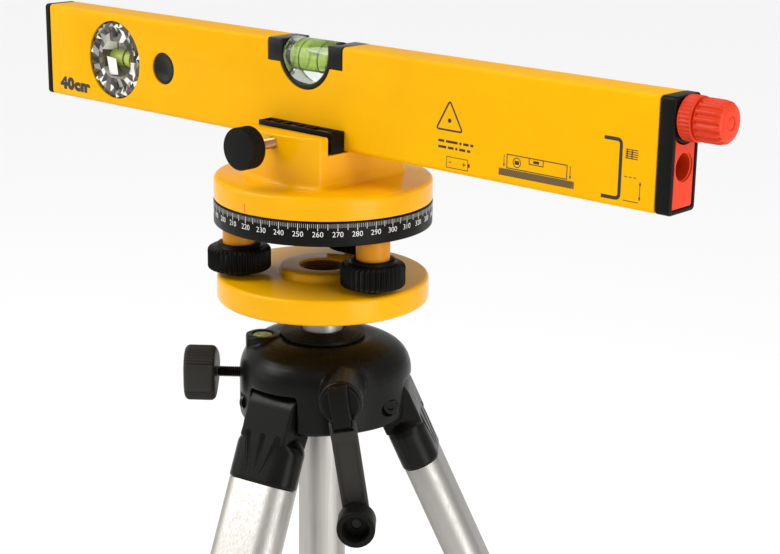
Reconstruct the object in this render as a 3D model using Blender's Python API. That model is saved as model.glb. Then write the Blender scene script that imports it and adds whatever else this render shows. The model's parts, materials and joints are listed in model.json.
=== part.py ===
"""Laser spirit level in the saddle of a three-screw levelling head, on a small crank-column tripod.

Every dimension below is in millimetres. The frame for them has the centre column's axis at x = y = 0,
the level's length along X, and z = 0 just under the turntable's top face. The empty "column_axis" puts
that frame into the part's own frame, whose origin is the middle of the footprint at floor level.
"""

import math

import bmesh
import bpy
from mathutils import Matrix, Vector

MM = 0.001
GAP = 0.3  # clearance between neighbouring pieces

# Where the column's axis meets the floor, and how high the turntable datum is above the floor
AXIS_X = -11.6
AXIS_Y = 29.6
DATUM_Z = 421.0

# Spirit level: x from the middle of its length, y from the middle of its thickness, z from its underside
LEVEL_AT = (1.7, -1.9, 18.2)
LEVEL_LENGTH = 400.0
LEVEL_HEIGHT = 48.3
LEVEL_DEPTH = 19.0
LEVEL_WALL = 1.6
LEVEL_CORNER = 2.0
LEFT_CAP_LENGTH = 4.0
RIGHT_CAP_LENGTH = 7.0
CAP_PLUG_LENGTH = 8.0
VIAL_WINDOW_X = -3.5
VIAL_WINDOW_Z = 43.2
VIAL_NOTCH_X = (-28.0, 21.0)
VIAL_NOTCH_Z = 37.4
VIAL_NOTCH_R = 17.3
VIAL_WINDOW_R = 15.0
VIAL_BARREL_R = 9.0
VIAL_BARREL_Z = 39.8
AMPOULE_R = 5.7
ROUND_VIAL_X = -142.7
ROUND_VIAL_Z = 24.1
ROUND_VIAL_R = 19.9
ROUND_AMPOULE_R = 4.9
BUTTON_X = -104.0
BUTTON_R = 7.8
LASER_Z = 19.0
LASER_APERTURE_R = 6.1
BATTERY_Z = 39.3
BATTERY_R = 5.2
BATTERY_LENGTH = 44.0
BATTERY_CAP_LENGTH = 19.2
BATTERY_COLLAR_R = 9.4
BATTERY_CAP_R = 9.0

# Turntable and its saddle
TABLE_R = 52.6
TABLE_TOP = 2.6
TABLE_BOTTOM = -8.4
SPIGOT_R = 12.0
SADDLE_HALF = 25.0
SADDLE_FRONT = -28.0
SADDLE_BULGE = 6.0
SADDLE_BACK = 31.0
SADDLE_FLOOR = 17.9
JAW_TOP = 26.6
FRONT_JAW_BACK = -23.0
REAR_JAW_FRONT = 8.0
CLAMP_Z = 22.2
CLAMP_SCREW_R = 2.5
CLAMP_KNOB_R = 9.9
CLAMP_KNOB_Y = (-56.0, -47.2)
PAD_X = (-23.5, 24.7)
PAD_Y = (-20.3, -11.75)
PAD_Z = (18.3, 28.2)

# Graduated ring, levelling screws and base plate
RING_R = 52.7
RING_TOP = -8.7
RING_BOTTOM = -20.2
SCREW_CIRCLE_R = 40.6
SCREW_AZIMUTHS = (-131.0, -11.0, 109.0)
POST_R = 8.0
NUT_R = 15.3
NUT_TOP = -32.4
NUT_BOTTOM = -43.5
NUT_COLLAR_R = 10.8
NUT_COLLAR_TOP = -30.5
NUT_FOOT = -46.0
STUD_R = 3.0
PLATE_R = 51.6
PLATE_TOP = -46.3
PLATE_BOTTOM = -58.6
PLATE_BOSS_R = 21.3
PLATE_BOSS_TOP = -42.6
PLATE_EYE_R = 9.2
PLATE_FOOT_R = 21.0
PLATE_FOOT_BOTTOM = -59.2

# Tripod head and centre column
COLUMN_R = 10.2
COLUMN_BORE_R = 4.2
COLUMN_TOP = -59.5
COLUMN_BOTTOM = -330.0
COLUMN_SCREW_R = 4.7
COLUMN_SCREW_TOP = -50.0
SLEEVE_R = 11.8
SLEEVE_TOP = -104.0
SLEEVE_BOTTOM = -245.0
CROWN_R = 42.3
CROWN_LOBE = 1.5
CROWN_TOP = -78.3
CROWN_BOTTOM = -117.0
COLLAR_R = 20.8
COLLAR_TOP = -74.8
BUBBLE_AZIMUTH = -132.0
BUBBLE_RADIUS = 29.5
BUBBLE_R = 5.2
BUBBLE_TOP = -77.6
LOCK_AZIMUTH = -140.0
LOCK_Z = -99.0
LOCK_SCREW_R = 2.7
LOCK_KNOB_R = 14.6
LOCK_KNOB_FLAT = 2.2  # how far its three flats lie inside its round corners
LOCK_KNOB_SPAN = (52.3, 68.3)

# Crank: x outward along its shaft, z up, from a point beside the column
CRANK_AZIMUTH = -50.0
CRANK_TILT = 9.0  # how far its arm hangs out of plumb
CRANK_OFFSET = 12.4
CRANK_Z = -93.4
PINION_R = 3.5
PINION_HALF = 2.2
CRANK_SHAFT_R = 2.4
CRANK_BOSS_END = 57.5
CRANK_HUB_R = 8.9
CRANK_HUB_X = (57.8, 60.2)
CRANK_LINK_X = (57.8, 65.0)
CRANK_LINK_TOP = 9.0
CRANK_ARM_X = (60.6, 65.0)
CRANK_HINGE_X = 62.8
CRANK_HINGE_Z = -8.5
CRANK_GRIP_Z = -55.0
CRANK_ARM_HALF = 6.2
GRIP_R = 9.0
GRIP_CUP_R = 6.2
GRIP_SPAN = (65.3, 78.0)

# Legs: z down the leg from its pivot, x away from the column, y across
LEG_AZIMUTHS = (-81.0, 39.0, 159.0)
LEG_SPREAD = 24.4
PIVOT_RADIUS = 35.0
PIVOT_Z = -107.5
KNUCKLE_HALF = 13.0
KNUCKLE_ROUND_R = 9.5
KNUCKLE_END = -36.0
LEG_WIDTH = 35.0
LEG_DEPTH = 18.0
LEG_WALL = 1.3
LEG_UPPER_END = -300.0
LEG_LOWER_WIDTH = 30.0
LEG_LOWER_DEPTH = 13.0
LEG_LOWER_TOP = -62.0
LEG_LOWER_END = -326.0
HOUSING_TOP = -284.0
HOUSING_END = -314.0
HOUSING_WIDTH = 40.0
HOUSING_DEPTH = 23.0
LEVER_X = 15.8
LEVER_Z = -307.5
LEVER_HALF = 9.5
PIN_R = 2.5
PIN_HEAD_R = 3.8
PIN_HALF = 22.5
PIN_END = 18.0  # blind end of its bore, on the side away from its head


# Outlines and solids ------------------------------------------------------------------------------

def circle(radius, count, ribs=0, depth=0.0):
    """Points round a circle; ribs of the given depth are cut into it where ribs is not zero."""
    points = []
    for i in range(count):
        turn = 2 * math.pi * i / count
        r = radius - depth * (0.5 - 0.5 * math.cos(ribs * turn))
        points.append((r * math.cos(turn), r * math.sin(turn)))
    return points


def rounded_box(width, height, corner, steps=3):
    """Outline of a rectangle with round corners, centred on the origin."""
    points = []
    for quarter, (sx, sy) in enumerate(((1, 1), (-1, 1), (-1, -1), (1, -1))):
        for i in range(steps + 1):
            turn = math.pi / 2 * (quarter + i / steps)
            x = sx * (width / 2 - corner) + corner * math.cos(turn)
            y = sy * (height / 2 - corner) + corner * math.sin(turn)
            points.append((x, y))
    return points


def arc(centre, radius, start, end, steps):
    """Points along an arc, angles in degrees, both ends included."""
    points = []
    for i in range(steps + 1):
        turn = math.radians(start + (end - start) * i / steps)
        points.append((centre[0] + radius * math.cos(turn), centre[1] + radius * math.sin(turn)))
    return points


def shifted(outline, dx, dy):
    return [(x + dx, y + dy) for x, y in outline]


def on_axis(outline, level, axis):
    """Lays a flat outline across the given axis: (y, z) for X, (x, z) for Y and (x, y) for Z."""
    if axis == "X":
        return [Vector((level, a, b)) for a, b in outline]
    if axis == "Y":
        return [Vector((a, level, b)) for a, b in outline]
    return [Vector((a, b, level)) for a, b in outline]


def skin(sections, ring=False):
    """Solid through a row of sections with equal counts; ring joins the last to the first."""
    bm = bmesh.new()
    loops = [[bm.verts.new(point) for point in section] for section in sections]
    pairs = list(zip(loops, loops[1:]))
    if ring:
        pairs.append((loops[-1], loops[0]))
    for low, high in pairs:
        for i in range(len(low)):
            j = (i + 1) % len(low)
            bm.faces.new((low[i], low[j], high[j], high[i]))
    if not ring:
        bm.faces.new(loops[0])
        bm.faces.new(loops[-1])
    bmesh.ops.recalc_face_normals(bm, faces=bm.faces)
    return bm


def prism(outline, low, high, axis="Z"):
    return skin([on_axis(outline, low, axis), on_axis(outline, high, axis)])


def turned(profile, axis="Z", count=32, ring=False, ribs=0, depth=0.0, ribbed=()):
    """Solid of revolution from (radius, level) pairs; the levels' indices in ribbed get the ribs."""
    sections = []
    for index, (radius, level) in enumerate(profile):
        cut = ribs if index in ribbed else 0
        sections.append(on_axis(circle(radius, count, cut, depth), level, axis))
    return skin(sections, ring)


def block(x, y, z):
    """Plain box between three pairs of limits."""
    return prism([(x[0], y[0]), (x[1], y[0]), (x[1], y[1]), (x[0], y[1])], z[0], z[1])


def stadium(width, depth, level, steps=5):
    """Oval leg section: width along y, depth along x, with half-round ends."""
    r = depth / 2
    flat = width / 2 - r
    points = arc((0, flat), r, 0, 180, steps) + arc((0, -flat), r, 180, 360, steps)
    return [Vector((x, y, level)) for x, y in points]


def moved(bm, matrix):
    bmesh.ops.transform(bm, matrix=matrix, verts=bm.verts)
    return bm


# Objects ------------------------------------------------------------------------------------------

def clear_scene():
    for obj in list(bpy.data.objects):
        bpy.data.objects.remove(obj)


def empty(name, at, turn=(0, 0, 0), parent=None):
    """Helper empty at a place in millimetres, turned by angles in degrees."""
    obj = bpy.data.objects.new(name, None)
    bpy.context.scene.collection.objects.link(obj)
    obj.location = Vector(at) * MM
    obj.rotation_euler = [math.radians(a) for a in turn]
    obj.parent = parent
    return obj


def plain(name, bm, parent):
    mesh = bpy.data.meshes.new(name)
    bmesh.ops.scale(bm, vec=(MM, MM, MM), verts=bm.verts)
    bm.to_mesh(mesh)
    bm.free()
    obj = bpy.data.objects.new(name, mesh)
    bpy.context.scene.collection.objects.link(obj)
    obj.parent = parent
    return obj


def finish(name, look):
    """Material of one piece: its colour, roughness and metallic value."""
    colour, roughness, metallic = look
    material = bpy.data.materials.new(name + "_finish")
    material.use_nodes = True
    shader = material.node_tree.nodes["Principled BSDF"]
    shader.inputs["Base Color"].default_value = (*colour, 1.0)
    shader.inputs["Roughness"].default_value = roughness
    shader.inputs["Metallic"].default_value = metallic
    material.diffuse_color = (*colour, 1.0)
    return material


def piece(name, bm, look, parent):
    """One named sub-part, shaded smooth over its round stretches."""
    obj = plain(name, bm, parent)
    obj.data.materials.append(finish(name, look))
    obj.data.shade_smooth()
    obj.data.set_sharp_from_angle(angle=math.radians(35))
    return obj


def combine(obj, bm, operation):
    """Adds an exact Boolean with a hidden helper that shares the piece's own frame."""
    helper = plain(f"{obj.name}_{operation.lower()}_{len(obj.modifiers)}", bm, obj)
    helper.hide_render = True
    helper.hide_viewport = True
    helper.display_type = "WIRE"
    modifier = obj.modifiers.new(helper.name, "BOOLEAN")
    modifier.operation = operation
    modifier.solver = "EXACT"
    modifier.object = helper


def cut(obj, *cutters):
    for bm in cutters:
        combine(obj, bm, "DIFFERENCE")


def fuse(obj, *shapes):
    for bm in shapes:
        combine(obj, bm, "UNION")


YELLOW = ((0.93, 0.50, 0.01), 0.22, 0.0)
YELLOW_PAINT = ((0.94, 0.50, 0.0), 0.38, 0.0)
BLACK = ((0.018, 0.020, 0.018), 0.42, 0.0)
GREY_BLACK = ((0.03, 0.033, 0.03), 0.48, 0.0)
RED = ((0.75, 0.05, 0.01), 0.38, 0.0)
CLEAR = ((0.85, 0.90, 0.85), 0.05, 0.0)
GREEN = ((0.30, 0.62, 0.06), 0.10, 0.0)
STEEL = ((0.60, 0.59, 0.57), 0.28, 1.0)
ALUMINIUM = ((0.78, 0.76, 0.74), 0.36, 1.0)
BRASS = ((0.72, 0.42, 0.18), 0.30, 1.0)
RUBBER = ((0.02, 0.02, 0.02), 0.75, 0.0)
BATTERY_LOOK = ((0.12, 0.28, 0.45), 0.35, 0.3)


# Spirit level -------------------------------------------------------------------------------------

def level_section(width_cut, corner, x):
    outline = rounded_box(LEVEL_DEPTH - width_cut, LEVEL_HEIGHT - width_cut, corner)
    return on_axis(shifted(outline, 0, LEVEL_HEIGHT / 2), x, "X")


def notch_outline(grow, top):
    """Notch in the level's top edge: a rectangle whose middle dips in a half round."""
    radius = VIAL_NOTCH_R + grow
    floor = VIAL_NOTCH_Z - grow
    dip = math.degrees(math.asin((VIAL_WINDOW_Z - floor) / radius))
    left, right = VIAL_NOTCH_X[0] - grow, VIAL_NOTCH_X[1] + grow
    round_part = arc((VIAL_WINDOW_X, VIAL_WINDOW_Z), radius, 180 + dip, 360 - dip, 16)
    return [(left, top), (left, floor)] + round_part + [(right, floor), (right, top)]


def window_outline(radius, top):
    """D-shaped window under the notch, open at the top."""
    lower = arc((VIAL_WINDOW_X, VIAL_WINDOW_Z), radius, 180, 360, 18)
    return [(VIAL_WINDOW_X - radius, top)] + lower + [(VIAL_WINDOW_X + radius, top)]


def make_level_profile(parent):
    left = -LEVEL_LENGTH / 2 + LEFT_CAP_LENGTH + GAP
    right = LEVEL_LENGTH / 2 - RIGHT_CAP_LENGTH - GAP
    inner_corner = 0.6
    sections = [
        level_section(0, LEVEL_CORNER, left),
        level_section(0, LEVEL_CORNER, right),
        level_section(2 * LEVEL_WALL, inner_corner, right),
        level_section(2 * LEVEL_WALL, inner_corner, left),
    ]
    body = piece("level_profile", skin(sections, ring=True), YELLOW_PAINT, parent)
    round_hole = shifted(circle(ROUND_VIAL_R + GAP, 44), ROUND_VIAL_X, ROUND_VIAL_Z)
    button_hole = shifted(circle(BUTTON_R + GAP, 32), BUTTON_X, ROUND_VIAL_Z)
    cut(body, prism(notch_outline(0, LEVEL_HEIGHT + 5), -12, 12, "Y"))
    cut(body, prism(round_hole, -12, 12, "Y"), prism(button_hole, -12, -5, "Y"))


def make_end_caps(parent):
    plug_cut = 2 * LEVEL_WALL + 2 * GAP
    half = LEVEL_LENGTH / 2
    inner = -half + LEFT_CAP_LENGTH
    left = skin([
        level_section(1.0, LEVEL_CORNER, -half),
        level_section(0, LEVEL_CORNER, -half + 0.6),
        level_section(0, LEVEL_CORNER, inner),
        level_section(plug_cut, 0.8, inner),
        level_section(plug_cut, 0.8, inner + CAP_PLUG_LENGTH),
    ])
    piece("left_end_cap", left, BLACK, parent)
    outer = half - RIGHT_CAP_LENGTH
    right = skin([
        level_section(plug_cut, 0.8, outer - CAP_PLUG_LENGTH),
        level_section(plug_cut, 0.8, outer),
        level_section(0, LEVEL_CORNER, outer),
        level_section(0, LEVEL_CORNER, half - 0.6),
        level_section(1.0, LEVEL_CORNER, half),
    ])
    cap = piece("right_end_cap", right, BLACK, parent)
    beam_bore = shifted(circle(LASER_APERTURE_R + 0.5, 28), 0, LASER_Z)
    battery_bore = shifted(circle(BATTERY_R + 0.6, 28), 0, BATTERY_Z)
    counterbore = shifted(circle(8.8, 32), 0, BATTERY_Z)
    cut(cap, prism(plate_outline(GAP), half - 2.4, half + 1, "X"))
    cut(cap, prism(beam_bore, outer - 10, half + 1, "X"))
    cut(cap, prism(battery_bore, outer - 10, half + 1, "X"))
    cut(cap, prism(counterbore, half - 2, half + 1, "X"))


def plate_outline(grow):
    """Red end plate: a rectangle whose top edge is hollowed round the battery cap."""
    half = 7.2 + grow
    bottom = 2.2 - grow
    hollow_r = 10.8 - grow
    reach = math.degrees(math.acos(half / hollow_r))
    hollow = arc((0, BATTERY_Z), hollow_r, 360 - reach, 180 + reach, 10)
    corner = 1.0
    low_left = arc((-half + corner, bottom + corner), corner, 180, 270, 3)
    low_right = arc((half - corner, bottom + corner), corner, 270, 360, 3)
    return low_left + low_right + hollow


def make_laser_parts(parent):
    half = LEVEL_LENGTH / 2
    plate = piece("laser_end_plate", prism(plate_outline(0), half - 2.1, half - 0.3, "X"), RED, parent)
    cut(plate, prism(shifted(circle(LASER_APERTURE_R, 28), 0, LASER_Z), half - 5, half + 5, "X"))
    laser = turned([(6.0, 118), (6.0, 176), (5.0, 176), (5.0, 182), (2.2, 182), (2.2, 179)], "X", 24)
    moved(laser, Matrix.Translation((0, 0, LASER_Z)))
    piece("laser_module", laser, BRASS, parent)
    start = half - RIGHT_CAP_LENGTH - CAP_PLUG_LENGTH - BATTERY_LENGTH
    nub = 1.0
    cell = turned([
        (BATTERY_R, start), (BATTERY_R, start + BATTERY_LENGTH - nub),
        (1.9, start + BATTERY_LENGTH - nub), (1.9, start + BATTERY_LENGTH),
    ], "X", 24)
    moved(cell, Matrix.Translation((0, 0, BATTERY_Z)))
    piece("battery", cell, BATTERY_LOOK, parent)


def make_battery_cap(parent):
    """Red twist cap: stem, fine-ribbed collar, groove, coarse-ribbed barrel and rounded nose."""
    start = LEVEL_LENGTH / 2 + 0.6
    nose = start + BATTERY_CAP_LENGTH
    profile = [
        (BATTERY_R + 0.3, start - 14), (BATTERY_R + 0.3, start),
        (BATTERY_COLLAR_R - 0.5, start), (BATTERY_COLLAR_R, start + 0.6),
        (BATTERY_COLLAR_R, start + 5.6), (BATTERY_COLLAR_R - 0.5, start + 6.2),
        (BATTERY_CAP_R - 0.9, start + 6.2), (BATTERY_CAP_R - 0.9, start + 7.0),
        (BATTERY_CAP_R, start + 7.2), (BATTERY_CAP_R, nose - 3.2),
        (BATTERY_CAP_R - 1.2, nose - 0.9), (6.0, nose),
    ]
    axis = empty("battery_cap_axis", (0, 0, BATTERY_Z), parent=parent)
    cap = turned(profile, "X", 36, ribs=18, depth=0.7, ribbed=(3, 4))
    piece("battery_cap", cap, RED, axis)


def make_vials(parent):
    holder = prism(notch_outline(-GAP, LEVEL_HEIGHT - 0.1), -9.4, 9.4, "Y")
    frame = piece("vial_holder", holder, BLACK, parent)
    cut(frame, prism(window_outline(VIAL_WINDOW_R, LEVEL_HEIGHT + 5), -12, 12, "Y"))
    barrel_top = arc((0, VIAL_BARREL_Z), VIAL_BARREL_R, 0, 180, 14)
    barrel = [(-VIAL_BARREL_R, 20)] + [(VIAL_BARREL_R, 20)] + barrel_top
    clear = piece("horizontal_vial_block", prism(barrel, -40, 40, "X"), CLEAR, parent)
    front = window_outline(VIAL_WINDOW_R - GAP, LEVEL_HEIGHT + 2)
    combine(clear, prism(front, -12, 12, "Y"), "INTERSECT")
    bore = shifted(circle(AMPOULE_R + GAP, 24), 0, VIAL_BARREL_Z)
    cut(clear, prism(bore, -40, 40, "X"))
    reach = VIAL_WINDOW_R - 2.2
    ampoule = turned([
        (3.2, VIAL_WINDOW_X - reach), (AMPOULE_R, VIAL_WINDOW_X - reach + 2),
        (AMPOULE_R, VIAL_WINDOW_X + reach - 2), (3.2, VIAL_WINDOW_X + reach),
    ], "X", 24)
    moved(ampoule, Matrix.Translation((0, 0, VIAL_BARREL_Z)))
    piece("horizontal_ampoule", ampoule, GREEN, parent)
    disc = shifted(circle(ROUND_VIAL_R, 36), ROUND_VIAL_X, ROUND_VIAL_Z)
    lens = piece("round_vial_block", prism(disc, -9.3, 9.3, "Y"), CLEAR, parent)
    round_bore = shifted(circle(ROUND_AMPOULE_R + GAP, 20), 0, ROUND_VIAL_Z)
    cut(lens, prism(round_bore, ROUND_VIAL_X - 30, ROUND_VIAL_X + 30, "X"))
    tube = turned([
        (2.6, ROUND_VIAL_X - 16), (ROUND_AMPOULE_R, ROUND_VIAL_X - 14),
        (ROUND_AMPOULE_R, ROUND_VIAL_X + 14), (2.6, ROUND_VIAL_X + 16),
    ], "X", 20)
    moved(tube, Matrix.Translation((0, 0, ROUND_VIAL_Z)))
    piece("round_ampoule", tube, GREEN, parent)


def make_laser_button(parent):
    """Push button in the front wall: dished face, and a flange behind the wall that keeps it in."""
    axis = empty("laser_button_axis", (BUTTON_X, 0, ROUND_VIAL_Z), parent=parent)
    front = -LEVEL_DEPTH / 2 + 0.3
    profile = [
        (5.6, front + 0.5), (BUTTON_R - 0.6, front), (BUTTON_R, front + 0.4), (BUTTON_R, front + 1.9),
        (BUTTON_R + 1, front + 1.9), (BUTTON_R + 1, front + 3.4), (3.0, front + 3.4), (3.0, front + 7),
    ]
    piece("laser_button", turned(profile, "Y", 24), BLACK, axis)


# Saddle, turntable and clamp ----------------------------------------------------------------------

def saddle_front(back):
    """Plan of the saddle's front half: straight sides and a bulged front, closed at the line back."""
    radius = (SADDLE_HALF ** 2 + SADDLE_BULGE ** 2) / (2 * SADDLE_BULGE)
    reach = math.degrees(math.asin(SADDLE_HALF / radius))
    centre = (0, SADDLE_FRONT - SADDLE_BULGE + radius)
    front = arc(centre, radius, 270 - reach, 270 + reach, 12)
    return front + [(SADDLE_HALF, back), (-SADDLE_HALF, back)]


def make_turntable(parent):
    disc = turned([
        (SPIGOT_R - 0.6, -19.5), (SPIGOT_R, -18.9), (SPIGOT_R, TABLE_BOTTOM), (TABLE_R - 0.2, TABLE_BOTTOM),
        (TABLE_R, TABLE_BOTTOM + 0.6), (TABLE_R, TABLE_TOP - 2),
        (TABLE_R - 2, TABLE_TOP),
    ], count=56)
    table = piece("turntable", disc, YELLOW, parent)
    sunk = TABLE_TOP - 4
    fuse(table, prism(saddle_front(SADDLE_BACK), sunk, SADDLE_FLOOR))
    fuse(table, prism(saddle_front(FRONT_JAW_BACK), sunk, JAW_TOP))
    side = (-SADDLE_HALF, SADDLE_HALF)
    fuse(table, block(side, (REAR_JAW_FRONT, SADDLE_BACK), (sunk, JAW_TOP)))
    bore = shifted(circle(CLAMP_SCREW_R + GAP, 16), 0, CLAMP_Z)
    cut(table, prism(bore, -45, FRONT_JAW_BACK + 3, "Y"))


def make_clamp(parent):
    """Thumb screw through the front jaw, and the pad that it presses against the level."""
    pad = piece("clamp_pad", block(PAD_X, PAD_Y, PAD_Z), BLACK, parent)
    pockets = 7
    pitch = (PAD_X[1] - PAD_X[0]) / pockets
    for i in range(pockets):
        left = PAD_X[0] + pitch * i
        cut(pad, block((left + 0.9, left + pitch - 0.9), (PAD_Y[0] + 1.2, PAD_Y[1] - 1.6), (PAD_Z[1] - 2.5, 40)))
    axis = empty("clamp_axis", (0, 0, CLAMP_Z), parent=parent)
    screw = turned([
        (CLAMP_SCREW_R, CLAMP_KNOB_Y[1] + GAP), (CLAMP_SCREW_R, PAD_Y[0] - 1.2),
        (CLAMP_SCREW_R - 0.9, PAD_Y[0] - GAP),
    ], "Y", 16)
    piece("clamp_screw", screw, BRASS, axis)
    knob = turned([
        (CLAMP_KNOB_R - 1.6, CLAMP_KNOB_Y[0]), (CLAMP_KNOB_R, CLAMP_KNOB_Y[0] + 1.3),
        (CLAMP_KNOB_R, CLAMP_KNOB_Y[1] - 1.5), (CLAMP_KNOB_R - 1.2, CLAMP_KNOB_Y[1] - 0.4),
        (4.6, CLAMP_KNOB_Y[1]),
    ], "Y", 36, ribs=18, depth=0.8, ribbed=(1, 2))
    piece("clamp_knob", knob, BLACK, axis)


# Levelling head -----------------------------------------------------------------------------------

def make_graduated_ring(parent):
    ring = turned([
        (SPIGOT_R + GAP, RING_BOTTOM), (RING_R - 0.8, RING_BOTTOM), (RING_R, RING_BOTTOM + 0.8),
        (RING_R, RING_TOP), (SPIGOT_R + GAP, RING_TOP),
    ], count=56, ring=True)
    piece("graduated_ring", ring, BLACK, parent)


def around(azimuth, radius):
    turn = math.radians(azimuth)
    return radius * math.cos(turn), radius * math.sin(turn)


def make_levelling_screws(parent):
    """Three sets of fixed post, knurled nut and steel stud between the ring and the base plate."""
    post_end = NUT_TOP - 1.8
    stud_top = RING_BOTTOM - 4
    for number, azimuth in enumerate(SCREW_AZIMUTHS, 1):
        x, y = around(azimuth, SCREW_CIRCLE_R)
        axis = empty(f"levelling_axis_{number}", (x, y, 0), parent=parent)
        post = turned([
            (POST_R, post_end), (POST_R, RING_BOTTOM - GAP), (STUD_R + GAP, RING_BOTTOM - GAP),
            (STUD_R + GAP, post_end),
        ], count=20, ring=True)
        piece(f"post_{number}", post, YELLOW, axis)
        cup = NUT_TOP - 2.2
        nut = turned([
            (7.0, NUT_FOOT), (7.0, NUT_BOTTOM), (NUT_R - 1.4, NUT_BOTTOM), (NUT_R, NUT_BOTTOM + 1.0),
            (NUT_R, NUT_TOP - 1.0), (NUT_R - 1.4, NUT_TOP), (NUT_COLLAR_R, NUT_TOP),
            (NUT_COLLAR_R, NUT_COLLAR_TOP), (POST_R + 0.4, NUT_COLLAR_TOP), (POST_R + 0.4, cup),
            (STUD_R + GAP, cup), (STUD_R + GAP, NUT_FOOT),
        ], count=32, ring=True, ribs=16, depth=0.9, ribbed=(3, 4))
        piece(f"levelling_nut_{number}", nut, BLACK, axis)
        stud = turned([(STUD_R - 0.5, -54.5), (STUD_R, -54), (STUD_R, stud_top), (1.5, stud_top + 1)], count=12)
        piece(f"levelling_stud_{number}", stud, STEEL, axis)


def make_base_plate(parent):
    plate = turned([
        (PLATE_EYE_R, PLATE_FOOT_BOTTOM), (PLATE_FOOT_R, PLATE_FOOT_BOTTOM),
        (PLATE_FOOT_R, PLATE_BOTTOM), (PLATE_R - 2, PLATE_BOTTOM), (PLATE_R, PLATE_BOTTOM + 2),
        (PLATE_R, PLATE_TOP - 2), (PLATE_R - 2, PLATE_TOP), (PLATE_BOSS_R, PLATE_TOP),
        (PLATE_BOSS_R, PLATE_BOSS_TOP - 0.6), (PLATE_BOSS_R - 0.6, PLATE_BOSS_TOP),
        (PLATE_EYE_R, PLATE_BOSS_TOP),
    ], count=44, ring=True)
    base = piece("base_plate", plate, YELLOW, parent)
    for azimuth in SCREW_AZIMUTHS:
        x, y = around(azimuth, SCREW_CIRCLE_R)
        cut(base, prism(shifted(circle(STUD_R + GAP, 12), x, y), -55, PLATE_TOP + 5))


# Tripod head --------------------------------------------------------------------------------------

def make_column(parent):
    """Centre column: steel rod with the camera-type screw on top and a groove where the pinion rolls."""
    rod = turned([
        (COLUMN_R - 0.5, COLUMN_BOTTOM), (COLUMN_R, COLUMN_BOTTOM + 0.5), (COLUMN_R, COLUMN_TOP - 0.6),
        (COLUMN_R - 0.6, COLUMN_TOP), (COLUMN_SCREW_R, COLUMN_TOP), (COLUMN_SCREW_R, COLUMN_SCREW_TOP - 0.8),
        (COLUMN_SCREW_R - 0.8, COLUMN_SCREW_TOP),
    ], count=28)
    column = piece("centre_column", rod, STEEL, parent)
    bore = prism(circle(COLUMN_BORE_R, 16), COLUMN_BOTTOM - 5, COLUMN_TOP - 20)
    floor = CRANK_OFFSET - PINION_R - GAP
    half = PINION_HALF + 0.6
    groove = block((-half, half + 2), (floor, 20), (COLUMN_BOTTOM - 5, CRANK_Z + PINION_R + 2))
    moved(groove, Matrix.Rotation(math.radians(CRANK_AZIMUTH), 4, "Z"))
    cut(column, bore, groove)


def make_sleeve(parent):
    inner = COLUMN_R + 0.4
    tube = turned([
        (SLEEVE_R, SLEEVE_BOTTOM), (SLEEVE_R, SLEEVE_TOP), (inner, SLEEVE_TOP), (inner, SLEEVE_BOTTOM),
    ], count=28, ring=True)
    piece("column_sleeve", tube, ALUMINIUM, parent)


def crown_section(scale, z):
    """Rounded triangle with its corners over the legs."""
    points = []
    count = 36
    for i in range(count):
        turn = 2 * math.pi * i / count
        lobe = math.cos(3 * (turn - math.radians(LEG_AZIMUTHS[1])))
        radius = scale * (CROWN_R + CROWN_LOBE * lobe)
        points.append(Vector((radius * math.cos(turn), radius * math.sin(turn), z)))
    return points


def leg_slot():
    """Slot for one knuckle, open outward and downward, before it is turned to the leg's azimuth."""
    half = KNUCKLE_HALF + 0.4
    top = PIVOT_Z + KNUCKLE_ROUND_R + 0.5
    inner = PIVOT_RADIUS - KNUCKLE_ROUND_R - 3
    return block((inner, 70), (-half, half), (CROWN_BOTTOM - 10, top))


def pin_bore():
    counter = PIN_HALF - 2.2
    return turned([
        (PIN_HEAD_R + GAP, -60), (PIN_HEAD_R + GAP, -counter), (PIN_R + GAP, -counter),
        (PIN_R + GAP, PIN_END + GAP),
    ], "Y", 16)


def make_crown(parent):
    levels = (
        (0.965, CROWN_BOTTOM), (1.0, CROWN_BOTTOM + 1.5), (1.0, -94), (0.975, -88.5), (0.90, -83.8),
        (0.76, -80.2), (0.58, CROWN_TOP),
    )
    crown = piece("crown", skin([crown_section(s, z) for s, z in levels]), GREY_BLACK, parent)
    bubble = around(BUBBLE_AZIMUTH, BUBBLE_RADIUS)
    fuse(crown, prism(shifted(circle(BUBBLE_R + 3.2, 24), *bubble), -95, BUBBLE_TOP + 0.2))
    to_crank = crank_frame()
    fuse(crown, moved(turned([(10.4, 25), (10.4, CRANK_BOSS_END - 1), (9.6, CRANK_BOSS_END)], "X", 24), to_crank))
    cut(crown, prism(circle(COLUMN_R + 0.4, 28), CROWN_BOTTOM - 5, CROWN_TOP + 10))
    cut(crown, prism(circle(SLEEVE_R + GAP, 28), CROWN_BOTTOM - 5, SLEEVE_TOP + GAP))
    cut(crown, prism(shifted(circle(BUBBLE_R + GAP, 16), *bubble), BUBBLE_TOP - 3.3, BUBBLE_TOP + 10))
    for azimuth in LEG_AZIMUTHS:
        spin = Matrix.Rotation(math.radians(azimuth), 4, "Z")
        cut(crown, moved(leg_slot(), spin))
        cut(crown, moved(pin_bore(), spin @ Matrix.Translation((PIVOT_RADIUS, 0, PIVOT_Z))))
    shaft_bore = turned([
        (PINION_R + 0.5, -PINION_HALF - 0.8), (PINION_R + 0.5, PINION_HALF + 0.8),
        (CRANK_SHAFT_R + GAP, PINION_HALF + 0.8), (CRANK_SHAFT_R + GAP, 70),
    ], "X", 12)
    cut(crown, moved(shaft_bore, to_crank))
    lock = prism(circle(LOCK_SCREW_R + GAP, 12), 5, 60, "X")
    cut(crown, moved(lock, lock_frame()))


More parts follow.
